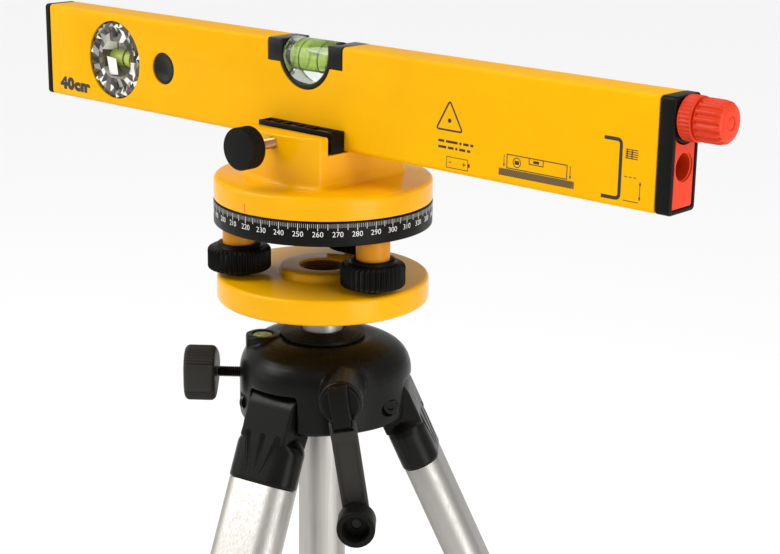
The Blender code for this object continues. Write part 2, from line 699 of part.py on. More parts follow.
def make_collar(parent):
    """Black collar round the column: low concentric steps that rise towards the middle."""
    inner = COLUMN_R + 0.5
    rings = 3
    step = (COLLAR_R - inner - 1.6) / rings
    rise = 0.5
    low = COLLAR_TOP - rise * rings
    profile = [(inner, CROWN_TOP + GAP), (COLLAR_R, CROWN_TOP + GAP), (COLLAR_R, low)]
    for i in range(rings):
        radius = COLLAR_R - 1.2 - step * i
        profile += [(radius, low + rise * i), (radius - 0.2, low + rise * (i + 1))]
    profile.append((inner, COLLAR_TOP))
    piece("crown_collar", turned(profile, count=32, ring=True), BLACK, parent)


def make_bubble(parent):
    x, y = around(BUBBLE_AZIMUTH, BUBBLE_RADIUS)
    vial = turned([(BUBBLE_R, BUBBLE_TOP - 3), (BUBBLE_R, BUBBLE_TOP - 0.5), (BUBBLE_R - 1.2, BUBBLE_TOP)], count=24)
    piece("bubble_vial", moved(vial, Matrix.Translation((x, y, 0))), GREEN, parent)


def lock_frame():
    return Matrix.Rotation(math.radians(LOCK_AZIMUTH), 4, "Z") @ Matrix.Translation((0, 0, LOCK_Z))


def make_column_lock(parent):
    axis = empty("column_lock_axis", (0, 0, LOCK_Z), (0, 0, LOCK_AZIMUTH), parent)
    start = COLUMN_R + 0.5
    screw = turned([
        (LOCK_SCREW_R - 0.6, start), (LOCK_SCREW_R, start + 1), (LOCK_SCREW_R, LOCK_KNOB_SPAN[0] - GAP),
    ], "X", 20)
    piece("lock_screw", screw, BLACK, axis)
    low, high = LOCK_KNOB_SPAN
    knob = turned([
        (6.0, low), (LOCK_KNOB_R - 1.4, low + 0.8), (LOCK_KNOB_R, low + 2.4),
        (LOCK_KNOB_R, high - 2.4), (LOCK_KNOB_R - 1.4, high - 0.8), (7.5, high),
    ], "X", 36, ribs=3, depth=LOCK_KNOB_FLAT, ribbed=(1, 2, 3, 4))
    piece("lock_knob", moved(knob, Matrix.Rotation(math.radians(60), 4, "X")), BLACK, axis)


# Crank --------------------------------------------------------------------------------------------

def crank_place():
    across = math.radians(CRANK_AZIMUTH + 90)
    return CRANK_OFFSET * math.cos(across), CRANK_OFFSET * math.sin(across), CRANK_Z


def crank_frame():
    turn = Matrix.Rotation(math.radians(CRANK_AZIMUTH), 4, "Z") @ Matrix.Rotation(math.radians(CRANK_TILT), 4, "X")
    return Matrix.Translation(crank_place()) @ turn


def crank_empty(name, parent):
    return empty(name, crank_place(), (CRANK_TILT, 0, CRANK_AZIMUTH), parent)


def make_crank(parent):
    axis = crank_empty("crank_axis", parent)
    neck = 1.2
    shaft = turned([
        (PINION_R, -PINION_HALF), (PINION_R, PINION_HALF), (neck, PINION_HALF), (neck, 7.6),
        (CRANK_SHAFT_R, 7.6), (CRANK_SHAFT_R, CRANK_LINK_X[0] - GAP),
    ], "X", 20, ribs=10, depth=1.0, ribbed=(0, 1))
    piece("crank_shaft", shaft, STEEL, axis)
    low, high = CRANK_HUB_X
    hub = turned([(CRANK_HUB_R, low), (CRANK_HUB_R, high - 0.6), (CRANK_HUB_R - 0.6, high)], "X", 32)
    link = piece("crank_hub", hub, BLACK, axis)
    half = 4.4
    end_r = CRANK_LINK_X[1] - CRANK_HINGE_X
    side = [(low, CRANK_LINK_TOP), (CRANK_LINK_X[1] - 1.5, CRANK_LINK_TOP), (CRANK_LINK_X[1], CRANK_LINK_TOP - 1.5)]
    side += arc((CRANK_HINGE_X, CRANK_HINGE_Z), end_r, 0, -180, 8) + [(low, CRANK_HINGE_Z)]
    fuse(link, prism(side, -half, half, "Y"))
    cut(link, moved(prism(circle(1.5, 14), -10, 10, "Y"), Matrix.Translation((CRANK_HINGE_X, 0, CRANK_HINGE_Z))))


def make_crank_arm(parent):
    """Folding lower arm: a fork and pin at its hinge, a flat blade, and the stub for the grip."""
    axis = crank_empty("crank_fold_axis", parent)
    hinge = empty("crank_hinge", (CRANK_HINGE_X, 0, CRANK_HINGE_Z), parent=axis)
    low, high = CRANK_ARM_X[0] - CRANK_HINGE_X, CRANK_ARM_X[1] - CRANK_HINGE_X
    half = CRANK_ARM_HALF
    top = low - 0.8
    drop = CRANK_GRIP_Z - CRANK_HINGE_Z
    blade = [(-half, top)] + arc((0, drop), half, 180, 360, 10) + [(half, top)]
    arm = piece("crank_arm", prism(blade, low, high, "X"), BLACK, hinge)
    ear = [(low, -6)] + arc((0, 0), high, 180, 0, 10) + [(high, -6)]
    fuse(arm, prism(ear, -half, -4.8, "Y"), prism(ear, 4.8, half, "Y"))
    fuse(arm, prism(circle(1.2, 12), -6, 6, "Y"))
    stub = turned([(2.2, 0), (2.2, GRIP_SPAN[0] - CRANK_HINGE_X + 5.0)], "X", 16)
    fuse(arm, moved(stub, Matrix.Translation((0, 0, drop))))


def make_crank_grip(parent):
    axis = crank_empty("grip_arm_axis", parent)
    grip_axis = empty("crank_grip_axis", (0, 0, CRANK_GRIP_Z), parent=axis)
    low, high = GRIP_SPAN
    floor = low + 5.4
    grip = turned([
        (2.5, low), (GRIP_R - 1, low), (GRIP_R, low + 1), (GRIP_R, high - 0.8), (GRIP_R - 0.8, high),
        (GRIP_CUP_R, high), (GRIP_CUP_R - 0.4, floor), (2.5, floor),
    ], "X", 24, ring=True)
    piece("crank_grip", grip, BLACK, grip_axis)


# Legs ---------------------------------------------------------------------------------------------

def floor_level(x):
    """Where a leg's own z axis meets the floor, for a point x out from the leg's middle line."""
    lean = math.radians(LEG_SPREAD)
    return (-DATUM_Z - PIVOT_Z - x * math.sin(lean)) / math.cos(lean)


def make_knuckle(number, parent):
    r = KNUCKLE_ROUND_R
    side = arc((0, 0), r, 0, 180, 12) + [(-r, -16), (r, -16)]
    knuckle = piece(f"knuckle_{number}", prism(side, -KNUCKLE_HALF, KNUCKLE_HALF, "Y"), GREY_BLACK, parent)
    spigot_width = LEG_WIDTH - 2 * LEG_WALL - 2 * GAP
    spigot_depth = LEG_DEPTH - 2 * LEG_WALL - 2 * GAP
    fuse(knuckle, skin([
        stadium(spigot_width, spigot_depth, -52), stadium(spigot_width, spigot_depth, KNUCKLE_END),
        stadium(LEG_WIDTH + 0.8, LEG_DEPTH + 1.2, KNUCKLE_END),
        stadium(LEG_WIDTH + 0.8, LEG_DEPTH + 1.2, -16.5), stadium(2 * KNUCKLE_HALF, LEG_DEPTH + 0.6, -12.5),
    ]))
    face = (LEG_DEPTH + 1.2) / 2
    for fan in (-1, 0, 1):
        flute = turned([(0.4, -20.5), (0.7, -19.5), (1.6, -1.6), (1.0, -0.6)], count=10)
        place = Matrix.Translation((face + 0.5, fan * 7.5, -13.5)) @ Matrix.Rotation(math.radians(-11.5 * fan), 4, "X")
        cut(knuckle, moved(flute, place))
    cut(knuckle, prism(circle(PIN_R + GAP, 20), -20, 20, "Y"))


def make_pivot_pin(number, parent):
    head = PIN_HALF - 1.9
    pin = turned([(PIN_HEAD_R, -PIN_HALF), (PIN_HEAD_R, -head), (PIN_R, -head), (PIN_R, PIN_END)], "Y", 16)
    piece(f"pivot_pin_{number}", pin, BLACK, parent)


def make_leg_tubes(number, parent):
    inner_width, inner_depth = LEG_WIDTH - 2 * LEG_WALL, LEG_DEPTH - 2 * LEG_WALL
    top = KNUCKLE_END - GAP
    upper = skin([
        stadium(LEG_WIDTH, LEG_DEPTH, LEG_UPPER_END), stadium(LEG_WIDTH, LEG_DEPTH, top),
        stadium(inner_width, inner_depth, top), stadium(inner_width, inner_depth, LEG_UPPER_END),
    ], ring=True)
    piece(f"leg_upper_{number}", upper, ALUMINIUM, parent)
    lower = skin([
        stadium(LEG_LOWER_WIDTH, LEG_LOWER_DEPTH, LEG_LOWER_END),
        stadium(LEG_LOWER_WIDTH, LEG_LOWER_DEPTH, LEG_LOWER_TOP),
        stadium(LEG_LOWER_WIDTH - 2.4, LEG_LOWER_DEPTH - 2.4, LEG_LOWER_TOP),
        stadium(LEG_LOWER_WIDTH - 2.4, LEG_LOWER_DEPTH - 2.4, LEG_LOWER_END),
    ], ring=True)
    piece(f"leg_lower_{number}", lower, ALUMINIUM, parent)


def make_clamp_housing(number, parent):
    step = LEG_UPPER_END - GAP
    upper_bore = (LEG_WIDTH + 2 * GAP, LEG_DEPTH + 2 * GAP)
    lower_bore = (LEG_LOWER_WIDTH + 2 * GAP, LEG_LOWER_DEPTH + 2 * GAP)
    shell = skin([
        stadium(HOUSING_WIDTH - 2, HOUSING_DEPTH - 2, HOUSING_END),
        stadium(HOUSING_WIDTH, HOUSING_DEPTH, HOUSING_END + 1.5),
        stadium(HOUSING_WIDTH, HOUSING_DEPTH, HOUSING_TOP - 1.5),
        stadium(HOUSING_WIDTH - 2, HOUSING_DEPTH - 2, HOUSING_TOP),
        stadium(*upper_bore, HOUSING_TOP), stadium(*upper_bore, step),
        stadium(*lower_bore, step), stadium(*lower_bore, HOUSING_END),
    ], ring=True)
    housing = piece(f"clamp_housing_{number}", shell, BLACK, parent)
    ear_r = 3.6
    root = HOUSING_DEPTH / 2 - 1.2
    ear = [(root, LEVER_Z + ear_r)] + arc((LEVER_X, LEVER_Z), ear_r, 90, -90, 8) + [(root, LEVER_Z - ear_r)]
    inner, outer = LEVER_HALF + GAP, LEVER_HALF + GAP + 2
    fuse(housing, prism(ear, inner, outer, "Y"), prism(ear, -outer, -inner, "Y"))
    hole = moved(prism(circle(1.6, 14), -20, 20, "Y"), Matrix.Translation((LEVER_X, 0, LEVER_Z)))
    cut(housing, hole)


def make_lock_lever(number, parent):
    """Flip lever: a round root on its trunnions and a slightly hooked thumb plate."""
    axis = empty(f"lever_axis_{number}", (LEVER_X, 0, LEVER_Z), parent=parent)
    root_r = 3.4
    side = arc((0, 0), root_r, 180, 360, 8) + [(root_r, 3), (2.8, 17), (4.6, 21), (2.6, 22), (-0.4, 18), (-2.4, 3)]
    lever = piece(f"lock_lever_{number}", prism(side, -LEVER_HALF, LEVER_HALF, "Y"), BLACK, axis)
    fuse(lever, prism(circle(1.3, 14), -LEVER_HALF - 2, LEVER_HALF + 2, "Y"))


def make_foot(number, parent):
    top = LEG_LOWER_END - GAP
    sole = stadium(LEG_LOWER_WIDTH + 5, LEG_LOWER_DEPTH + 6, 0)
    bottom = [Vector((p.x, p.y, floor_level(p.x))) for p in sole]
    foot = skin([
        bottom, stadium(LEG_LOWER_WIDTH + 5, LEG_LOWER_DEPTH + 6, top - 6),
        stadium(LEG_LOWER_WIDTH + 2, LEG_LOWER_DEPTH + 3, top - 1.2), stadium(LEG_LOWER_WIDTH, LEG_LOWER_DEPTH, top),
    ])
    piece(f"foot_{number}", foot, RUBBER, parent)


def make_legs(parent):
    for number, azimuth in enumerate(LEG_AZIMUTHS, 1):
        x, y = around(azimuth, PIVOT_RADIUS)
        leg = empty(f"leg_axis_{number}", (x, y, PIVOT_Z), (0, -LEG_SPREAD, azimuth), parent)
        make_knuckle(number, leg)
        make_pivot_pin(number, leg)
        make_leg_tubes(number, leg)
        make_clamp_housing(number, leg)
        make_lock_lever(number, leg)
        make_foot(number, leg)


def main():
    clear_scene()
    column_axis = empty("column_axis", (AXIS_X, AXIS_Y, DATUM_Z))
    level = empty("level_axis", LEVEL_AT, parent=column_axis)
    make_level_profile(level)
    make_end_caps(level)
    make_laser_parts(level)
    make_battery_cap(level)
    make_vials(level)
    make_laser_button(level)
    make_turntable(column_axis)
    make_clamp(column_axis)
    make_graduated_ring(column_axis)
    make_levelling_screws(column_axis)
    make_base_plate(column_axis)
    make_column(column_axis)
    make_sleeve(column_axis)
    make_crown(column_axis)
    make_collar(column_axis)
    make_bubble(column_axis)
    make_column_lock(column_axis)
    make_crank(column_axis)
    make_crank_arm(column_axis)
    make_crank_grip(column_axis)
    make_legs(column_axis)


main()
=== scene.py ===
"""Looks of a laser spirit level on its levelling head and small crank tripod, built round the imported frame.

Sizes below are in millimetres unless a line says otherwise, and each group of pieces is made in the frame
of the CAD body that it rides on. Blender's own values, such as voxel sizes, are in metres.
"""

import json
import math

import bmesh
import bpy
from mathutils import Matrix, Vector


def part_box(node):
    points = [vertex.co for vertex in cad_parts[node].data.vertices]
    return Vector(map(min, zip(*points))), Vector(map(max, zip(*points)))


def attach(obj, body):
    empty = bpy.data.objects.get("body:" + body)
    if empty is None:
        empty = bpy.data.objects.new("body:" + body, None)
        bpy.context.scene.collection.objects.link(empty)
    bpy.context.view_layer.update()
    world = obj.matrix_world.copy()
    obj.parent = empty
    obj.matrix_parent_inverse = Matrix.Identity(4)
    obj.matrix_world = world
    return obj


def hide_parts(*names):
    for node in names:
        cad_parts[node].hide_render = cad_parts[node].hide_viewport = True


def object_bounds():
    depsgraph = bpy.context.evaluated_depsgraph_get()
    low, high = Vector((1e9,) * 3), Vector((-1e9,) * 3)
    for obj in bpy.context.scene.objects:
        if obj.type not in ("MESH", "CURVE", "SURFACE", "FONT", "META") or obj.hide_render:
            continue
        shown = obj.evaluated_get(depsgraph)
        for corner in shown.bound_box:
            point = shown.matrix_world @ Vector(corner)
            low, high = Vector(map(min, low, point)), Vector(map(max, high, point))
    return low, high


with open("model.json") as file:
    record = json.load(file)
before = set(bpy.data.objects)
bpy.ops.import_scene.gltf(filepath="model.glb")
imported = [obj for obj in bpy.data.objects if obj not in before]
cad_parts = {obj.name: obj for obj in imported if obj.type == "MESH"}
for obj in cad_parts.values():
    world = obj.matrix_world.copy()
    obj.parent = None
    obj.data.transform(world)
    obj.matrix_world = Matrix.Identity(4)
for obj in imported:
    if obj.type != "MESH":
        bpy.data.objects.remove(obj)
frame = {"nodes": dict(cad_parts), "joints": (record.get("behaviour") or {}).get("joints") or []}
cad_low, cad_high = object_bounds()

MM = 0.001
JOINTS = {joint["name"]: joint for joint in frame["joints"]}


# Frames of the bodies -----------------------------------------------------------------------------

def axes_frame(origin, x, y, z):
    """Matrix of a local frame from its origin in metres and three unit axes."""
    turn = Matrix((x, y, z)).transposed().to_4x4()
    return Matrix.Translation(origin) @ turn


def level_frame():
    """x along the level from its middle, y from its mid-thickness, z up from its underside."""
    low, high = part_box("level_profile")
    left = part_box("left_end_cap")[0].x
    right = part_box("right_end_cap")[1].x
    return Matrix.Translation(((left + right) / 2, (low.y + high.y) / 2, low.z))


def radial_frame(joint, inset):
    """x outward along a hinge that points away from the column; its origin lies inset inside the joint."""
    x = Vector(JOINTS[joint]["axis"])
    z = Vector((0, 0, 1))
    return axes_frame(Vector(JOINTS[joint]["pos_m"]) - inset * MM * x, x, z.cross(x), z)


def crank_frame():
    """x outward along the crank's shaft and z up its arm, from a point beside the column."""
    x = Vector(JOINTS["crank_spin"]["axis"])
    y = -Vector(JOINTS["crank_fold"]["axis"])
    return axes_frame(Vector(JOINTS["crank_spin"]["pos_m"]) - 40 * MM * x, x, y, x.cross(y))


def leg_frame(number):
    """z up the leg, x away from the column, y across, from the leg's pivot."""
    z = -Vector(JOINTS[f"leg_{number}_extend"]["axis"])
    y = Vector(JOINTS[f"leg_{number}_fold"]["axis"])
    return axes_frame(Vector(JOINTS[f"leg_{number}_fold"]["pos_m"]), y.cross(z), y, z)


COLUMN = Matrix.Translation(JOINTS["turntable_spin"]["pos_m"])
LEVEL = level_frame()
LOCK = radial_frame("lock_spin", 60)
CRANK = crank_frame()
LEGS = {number: leg_frame(number) for number in (1, 2, 3)}


def local_box(node, place):
    """A node's box in a frame whose axes are the row's own, in millimetres."""
    low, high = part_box(node)
    origin = place.to_translation()
    return (low - origin) / MM, (high - origin) / MM


def disc_of(node):
    """Radius, lowest and highest level of a round node on an upright axis, in the column's frame."""
    low, high = local_box(node, COLUMN)
    return (high.x - low.x) / 2, low.z, high.z


# Camera, floor and light --------------------------------------------------------------------------

def make_camera():
    """A long lens at the front right of the level, a little above it."""
    data = bpy.data.cameras.new("camera")
    data.lens = 79.13
    data.sensor_width = 36.0
    data.clip_start = 0.05
    data.clip_end = 60
    camera = bpy.data.objects.new("camera", data)
    bpy.context.scene.collection.objects.link(camera)
    yaw, pitch, roll = math.radians(-41.72), math.radians(15.9), math.radians(0.87)
    ahead = Vector((math.sin(yaw) * math.cos(pitch), math.cos(yaw) * math.cos(pitch), -math.sin(pitch)))
    right = ahead.cross(Vector((0, 0, 1))).normalized()
    up = right.cross(ahead)
    tilted_right = math.cos(roll) * right + math.sin(roll) * up
    tilted_up = math.cos(roll) * up - math.sin(roll) * right
    place = COLUMN.to_translation() + Vector((559.8, -578.8, 180.5)) * MM
    camera.matrix_world = axes_frame(place, tilted_right, tilted_up, -ahead)
    bpy.context.scene.camera = camera


def add_lamp(name, data, direction):
    """Lamp object that shines along a direction."""
    lamp = bpy.data.objects.new(name, data)
    bpy.context.scene.collection.objects.link(lamp)
    lamp.rotation_euler = Vector(direction).to_track_quat("-Z", "Y").to_euler()
    return lamp


def area_light(name, place, aim, width, height, power):
    data = bpy.data.lights.new(name, "AREA")
    data.shape = "RECTANGLE"
    data.size = width
    data.size_y = height
    data.energy = power
    lamp = add_lamp(name, data, aim - place)
    lamp.location = place
    lamp.visible_camera = False


def sun_light(name, direction, strength, spread):
    data = bpy.data.lights.new(name, "SUN")
    data.energy = strength
    data.angle = math.radians(spread)
    add_lamp(name, data, direction)


def make_stage():
    bm = bmesh.new()
    bmesh.ops.create_grid(bm, x_segments=1, y_segments=1, size=40)
    mesh = bpy.data.meshes.new("floor")
    bm.to_mesh(mesh)
    bm.free()
    floor = bpy.data.objects.new("floor", mesh)
    floor.location.z = cad_low.z
    bpy.context.scene.collection.objects.link(floor)
    material = bpy.data.materials.new("floor_white")
    material.use_nodes = True
    shader = material.node_tree.nodes["Principled BSDF"]
    shader.inputs["Base Color"].default_value = (0.95, 0.95, 0.95, 1)
    shader.inputs["Roughness"].default_value = 0.9
    floor.data.materials.append(material)
    world = bpy.data.worlds.new("studio")
    world.use_nodes = True
    background = world.node_tree.nodes["Background"]
    background.inputs["Color"].default_value = (1, 1, 1, 1)
    background.inputs["Strength"].default_value = 0.52
    bpy.context.scene.world = world
    bpy.context.scene.view_settings.view_transform = "Standard"
    aim = COLUMN.to_translation()
    sun_light("key", (0.55, 0.62, -1.0), 1.85, 40)
    area_light("side_panel", aim + Vector((0.85, -0.05, 0.2)), aim, 0.5, 1.3, 6)
    area_light("left_fill", aim + Vector((-0.9, -0.9, 0.5)), aim, 1.0, 1.0, 4.5)


# Materials ----------------------------------------------------------------------------------------

def node_of(tree, kind, **values):
    """Adds a shader node and sets its inputs by name."""
    node = tree.nodes.new(kind)
    for name, value in values.items():
        node.inputs[name.replace("_", " ")].default_value = value
    return node


def new_material(name, colour, roughness, metallic=0.0):
    material = bpy.data.materials.new(name)
    material.use_nodes = True
    shader = material.node_tree.nodes["Principled BSDF"]
    shader.inputs["Base Color"].default_value = (*colour, 1)
    shader.inputs["Roughness"].default_value = roughness
    shader.inputs["Metallic"].default_value = metallic
    material.diffuse_color = (*colour, 1)
    return material, material.node_tree, shader


def stretched_noise(tree, scale, stretch=(1, 1, 1), detail=3.0):
    """Noise in object space, squeezed along each axis by stretch. Returns its factor output."""
    coords = tree.nodes.new("ShaderNodeTexCoord")
    mapping = node_of(tree, "ShaderNodeMapping", Scale=stretch)
    noise = node_of(tree, "ShaderNodeTexNoise", Scale=scale, Detail=detail)
    tree.links.new(coords.outputs["Object"], mapping.inputs["Vector"])
    tree.links.new(mapping.outputs["Vector"], noise.inputs["Vector"])
    return noise.outputs["Fac"]


def vary_colour(tree, shader, factor, low, high):
    mix = tree.nodes.new("ShaderNodeMix")
    mix.data_type = "RGBA"
    mix.inputs[6].default_value = (*low, 1)
    mix.inputs[7].default_value = (*high, 1)
    tree.links.new(factor, mix.inputs[0])
    tree.links.new(mix.outputs[2], shader.inputs["Base Color"])


def vary_roughness(tree, shader, factor, low, high):
    span = node_of(tree, "ShaderNodeMapRange", From_Min=0.3, From_Max=0.7, To_Min=low, To_Max=high)
    tree.links.new(factor, span.inputs["Value"])
    tree.links.new(span.outputs["Result"], shader.inputs["Roughness"])


def add_bump(tree, shader, factor, depth, strength):
    """Bump of the given depth in millimetres."""
    bump = node_of(tree, "ShaderNodeBump", Strength=strength, Distance=depth * MM)
    tree.links.new(factor, bump.inputs["Height"])
    tree.links.new(bump.outputs["Normal"], shader.inputs["Normal"])


def tone(colour, factor):
    return tuple(min(1.0, channel * factor) for channel in colour)


def moulded(name, colour, roughness, grain=1800.0, depth=0.03, strength=0.25, gloss=0.5):
    """Moulded plastic: faint tone drift, uneven gloss, and a fine surface grain."""
    material, tree, shader = new_material(name, colour, roughness)
    broad = stretched_noise(tree, 35.0, detail=4.0)
    vary_colour(tree, shader, broad, tone(colour, 0.90), tone(colour, 1.08))
    vary_roughness(tree, shader, stretched_noise(tree, 160.0, detail=5.0), roughness * 0.85, roughness * 1.2)
    add_bump(tree, shader, stretched_noise(tree, grain, detail=2.0), depth, strength)
    shader.inputs["Specular IOR Level"].default_value = gloss
    return material


def brushed(name, colour, roughness, stretch, scale=900.0, strength=0.25):
    """Metal with fine streaks: the noise is squeezed along the two directions across the brushing."""
    material, tree, shader = new_material(name, colour, roughness, 1.0)
    streaks = stretched_noise(tree, scale, stretch, 3.0)
    vary_colour(tree, shader, stretched_noise(tree, 30.0, detail=4.0), tone(colour, 0.93), tone(colour, 1.05))
    vary_roughness(tree, shader, streaks, roughness * 0.8, roughness * 1.25)
    add_bump(tree, shader, streaks, 0.02, strength)
    return material


def clear(name, colour, roughness=0.02, ior=1.47, transmission=1.0):
    """Clear acrylic or liquid, with a trace of haze."""
    material, tree, shader = new_material(name, colour, roughness)
    shader.inputs["Transmission Weight"].default_value = transmission
    shader.inputs["IOR"].default_value = ior
    add_bump(tree, shader, stretched_noise(tree, 220.0), 0.01, 0.08)
    return material


def make_materials():
    yellow = (0.81, 0.40, 0.0)
    made = {
        "lacquer": moulded("yellow_powder_coat", yellow, 0.42, 2600.0, 0.035, 0.22, gloss=0.06),
        "yellow": moulded("yellow_gloss", (0.80, 0.385, 0.0), 0.20, 700.0, 0.02, 0.06, gloss=0.16),
        "post": moulded("post_orange", (0.62, 0.235, 0.003), 0.34, 500.0, 0.05, 0.15, gloss=0.2),
        # Painted brown: painted shade inside the base plate's threaded eye, and painted bounce light on the clamp
        # pad's pocket floors.
        "painted_recess_brown": moulded("painted_shade_and_bounce_brown", (0.17, 0.07, 0.008), 0.5, 500.0, 0.05, 0.15, gloss=0.2),
        "black": moulded("black_satin", (0.0045, 0.0045, 0.0036), 0.36, 1500.0, 0.03, 0.22, gloss=0.09),
        "black_gloss": moulded("black_gloss", (0.006, 0.0055, 0.0045), 0.18, 900.0, 0.02, 0.05, gloss=0.2),
        "head": moulded("head_satin", (0.0040, 0.0038, 0.0031), 0.30, 2200.0, 0.035, 0.3, gloss=0.14),
        "arm": moulded("arm_satin", (0.021, 0.0195, 0.0155), 0.42, 2200.0, 0.035, 0.3, gloss=0.2),
        "red": moulded("red_satin", (0.62, 0.036, 0.006), 0.35, 1200.0, 0.03, 0.12, gloss=0.2),
        "ink": moulded("black_ink", (0.012, 0.011, 0.010), 0.45, 3000.0, 0.01, 0.1),
        "white_ink": moulded("white_ink", (0.85, 0.85, 0.82), 0.5, 3000.0, 0.01, 0.1),
        "grey_ink": moulded("grey_ink", (0.45, 0.45, 0.43), 0.5, 3000.0, 0.01, 0.1),
        "red_ink": moulded("red_ink", (0.85, 0.09, 0.01), 0.45, 3000.0, 0.01, 0.1),
        "ground_ink": moulded("hatched_ink", (0.16, 0.085, 0.01), 0.5, 1600.0, 0.02, 0.3),
        "steel": brushed("brushed_steel", (0.44, 0.42, 0.39), 0.42, (1, 1, 0.03), strength=0.06),
        "thread": brushed("thread_steel", (0.58, 0.56, 0.53), 0.3, (1, 1, 1)),
        "aluminium": brushed("satin_aluminium", (0.45, 0.435, 0.41), 0.46, (1, 1, 0.02), 1400.0, 0.12),
        "brass": brushed("turned_brass", (0.50, 0.28, 0.13), 0.32, (1, 1, 1)),
        "rubber": moulded("foot_rubber", (0.020, 0.020, 0.020), 0.75, 1300.0, 0.06, 0.5),
        "acrylic": clear("clear_acrylic", (0.95, 1.0, 0.95)),
        "liquid": clear("vial_liquid", (0.60, 0.80, 0.10), 0.0, 1.36, 0.65),
        "olive": clear("olive_liquid", (0.66, 0.78, 0.16), 0.05, 1.36, 0.35),
        "backing": moulded("vial_backing", (0.42, 0.40, 0.37), 0.4, 900.0, 0.03, 0.1),
        "vial_dark": moulded("vial_dark_green", (0.05, 0.09, 0.01), 0.3, 900.0, 0.03, 0.1),
        "wrap": moulded("battery_wrap", (0.10, 0.24, 0.42), 0.3),
    }
    # Painted reflections: the round vial's clear facets get opaque colours in place of their reflections and glints.
    for name, colour in PAINTED_FACET_REFLECTIONS.items():
        made[name] = moulded(name, colour, 0.14, 300.0, 0.04, 0.3)
    return made


# Colours of the round vial's facets: painted dark and brown reflections, a grey painted sheen and a white painted
# highlight.
PAINTED_FACET_REFLECTIONS = {
    "painted_reflection_dark": (0.012, 0.011, 0.008), "painted_reflection_brown": (0.09, 0.07, 0.045), "painted_sheen_grey": (0.33, 0.31, 0.27),
    "painted_highlight_white": (0.85, 0.84, 0.80),
}


# Outlines and solids ------------------------------------------------------------------------------

def circle(radius, count, wave=None):
    """Points round a circle; wave(angle) is added to the radius."""
    points = []
    for i in range(count):
        turn = 2 * math.pi * i / count
        r = radius + (wave(turn) if wave else 0.0)
        points.append((r * math.cos(turn), r * math.sin(turn)))
    return points


def arc(centre, radius, start, end, steps):
    points = []
    for i in range(steps + 1):
        turn = math.radians(start + (end - start) * i / steps)
        points.append((centre[0] + radius * math.cos(turn), centre[1] + radius * math.sin(turn)))
    return points


def soften(points, reach, steps=4, closed=False):
    """Rounds each corner of a polyline with a curve that starts reach before it."""
    made = []
    count = len(points)
    for i, point in enumerate(points):
        here = Vector(point)
        if not closed and i in (0, count - 1):
            made.append(tuple(here))
            continue
        before, after = Vector(points[i - 1]), Vector(points[(i + 1) % count])
        back = min(reach, (before - here).length * 0.45)
        ahead = min(reach, (after - here).length * 0.45)
        start = here + (before - here).normalized() * back
        end = here + (after - here).normalized() * ahead
        for k in range(steps + 1):
            t = k / steps
            made.append(tuple(start * (1 - t) ** 2 + here * 2 * t * (1 - t) + end * t ** 2))
    return made


def shifted(outline, dx, dy):
    return [(x + dx, y + dy) for x, y in outline]


def on_axis(outline, level, axis):
    """Lays a flat outline across an axis: (y, z) for X, (x, z) for Y and (x, y) for Z."""
    if axis == "X":
        return [Vector((level, a, b)) for a, b in outline]
    if axis == "Y":
        return [Vector((a, level, b)) for a, b in outline]
    return [Vector((a, b, level)) for a, b in outline]


def skin(sections, ring=False):
    """Solid through a row of sections with equal counts; ring joins the last to the first."""
    bm = bmesh.new()
    loops = [[bm.verts.new(point) for point in section] for section in sections]
    pairs = list(zip(loops, loops[1:]))
    if ring:
        pairs.append((loops[-1], loops[0]))
    for low, high in pairs:
        for i in range(len(low)):
            j = (i + 1) % len(low)
            bm.faces.new((low[i], low[j], high[j], high[i]))
    if not ring:
        bm.faces.new(loops[0])
        bm.faces.new(loops[-1])
    bmesh.ops.recalc_face_normals(bm, faces=bm.faces)
    return bm


def prism(outline, low, high, axis="Z"):
    return skin([on_axis(outline, low, axis), on_axis(outline, high, axis)])


def rod(radius, count, low, high, axis="Z", at=(0, 0)):
    """Plain cylinder along an axis, for pins and holes; at is its place across the axis."""
    return prism(shifted(circle(radius, count), *at), low, high, axis)


def turned(profile, axis="Z", count=96, ring=False, wave=None):
    """Solid of revolution from (radius, level) pairs; wave(angle, radius, level) is added to the radius."""
    sections = []
    for radius, level in profile:
        bent = (lambda turn, r=radius, v=level: wave(turn, r, v)) if wave else None
        sections.append(on_axis(circle(radius, count, bent), level, axis))
    return skin(sections, ring)


def block(x, y, z):
    return prism([(x[0], y[0]), (x[1], y[0]), (x[1], y[1]), (x[0], y[1])], z[0], z[1])


def rounded_box(width, height, corner, steps=8):
    points = []
    for quarter, (sx, sy) in enumerate(((1, 1), (-1, 1), (-1, -1), (1, -1))):
        centre = (sx * (width / 2 - corner), sy * (height / 2 - corner))
        points += arc(centre, corner, 90 * quarter, 90 * quarter + 90, steps)
    return points


def stadium(width, depth, level, steps=16):
    """Oval leg section: width along y, depth along x, with half-round ends."""
    r = depth / 2
    flat = width / 2 - r
    points = arc((0, flat), r, 0, 180, steps) + arc((0, -flat), r, 180, 360, steps)
    return [Vector((x, y, level)) for x, y in points]


def moved(bm, matrix):
    bmesh.ops.transform(bm, matrix=matrix, verts=bm.verts)
    return bm


def lift(x=0.0, y=0.0, z=0.0):
    return Matrix.Translation((x, y, z))


# Pieces -------------------------------------------------------------------------------------------

def mesh_from(name, bm, place):
    """Mesh object at the row's origin from a shape in millimetres in a body's frame."""
    bmesh.ops.scale(bm, vec=(MM, MM, MM), verts=bm.verts)
    bmesh.ops.transform(bm, matrix=place, verts=bm.verts)
    mesh = bpy.data.meshes.new(name)
    bm.to_mesh(mesh)
    bm.free()
    obj = bpy.data.objects.new(name, mesh)
    bpy.context.scene.collection.objects.link(obj)
    return obj


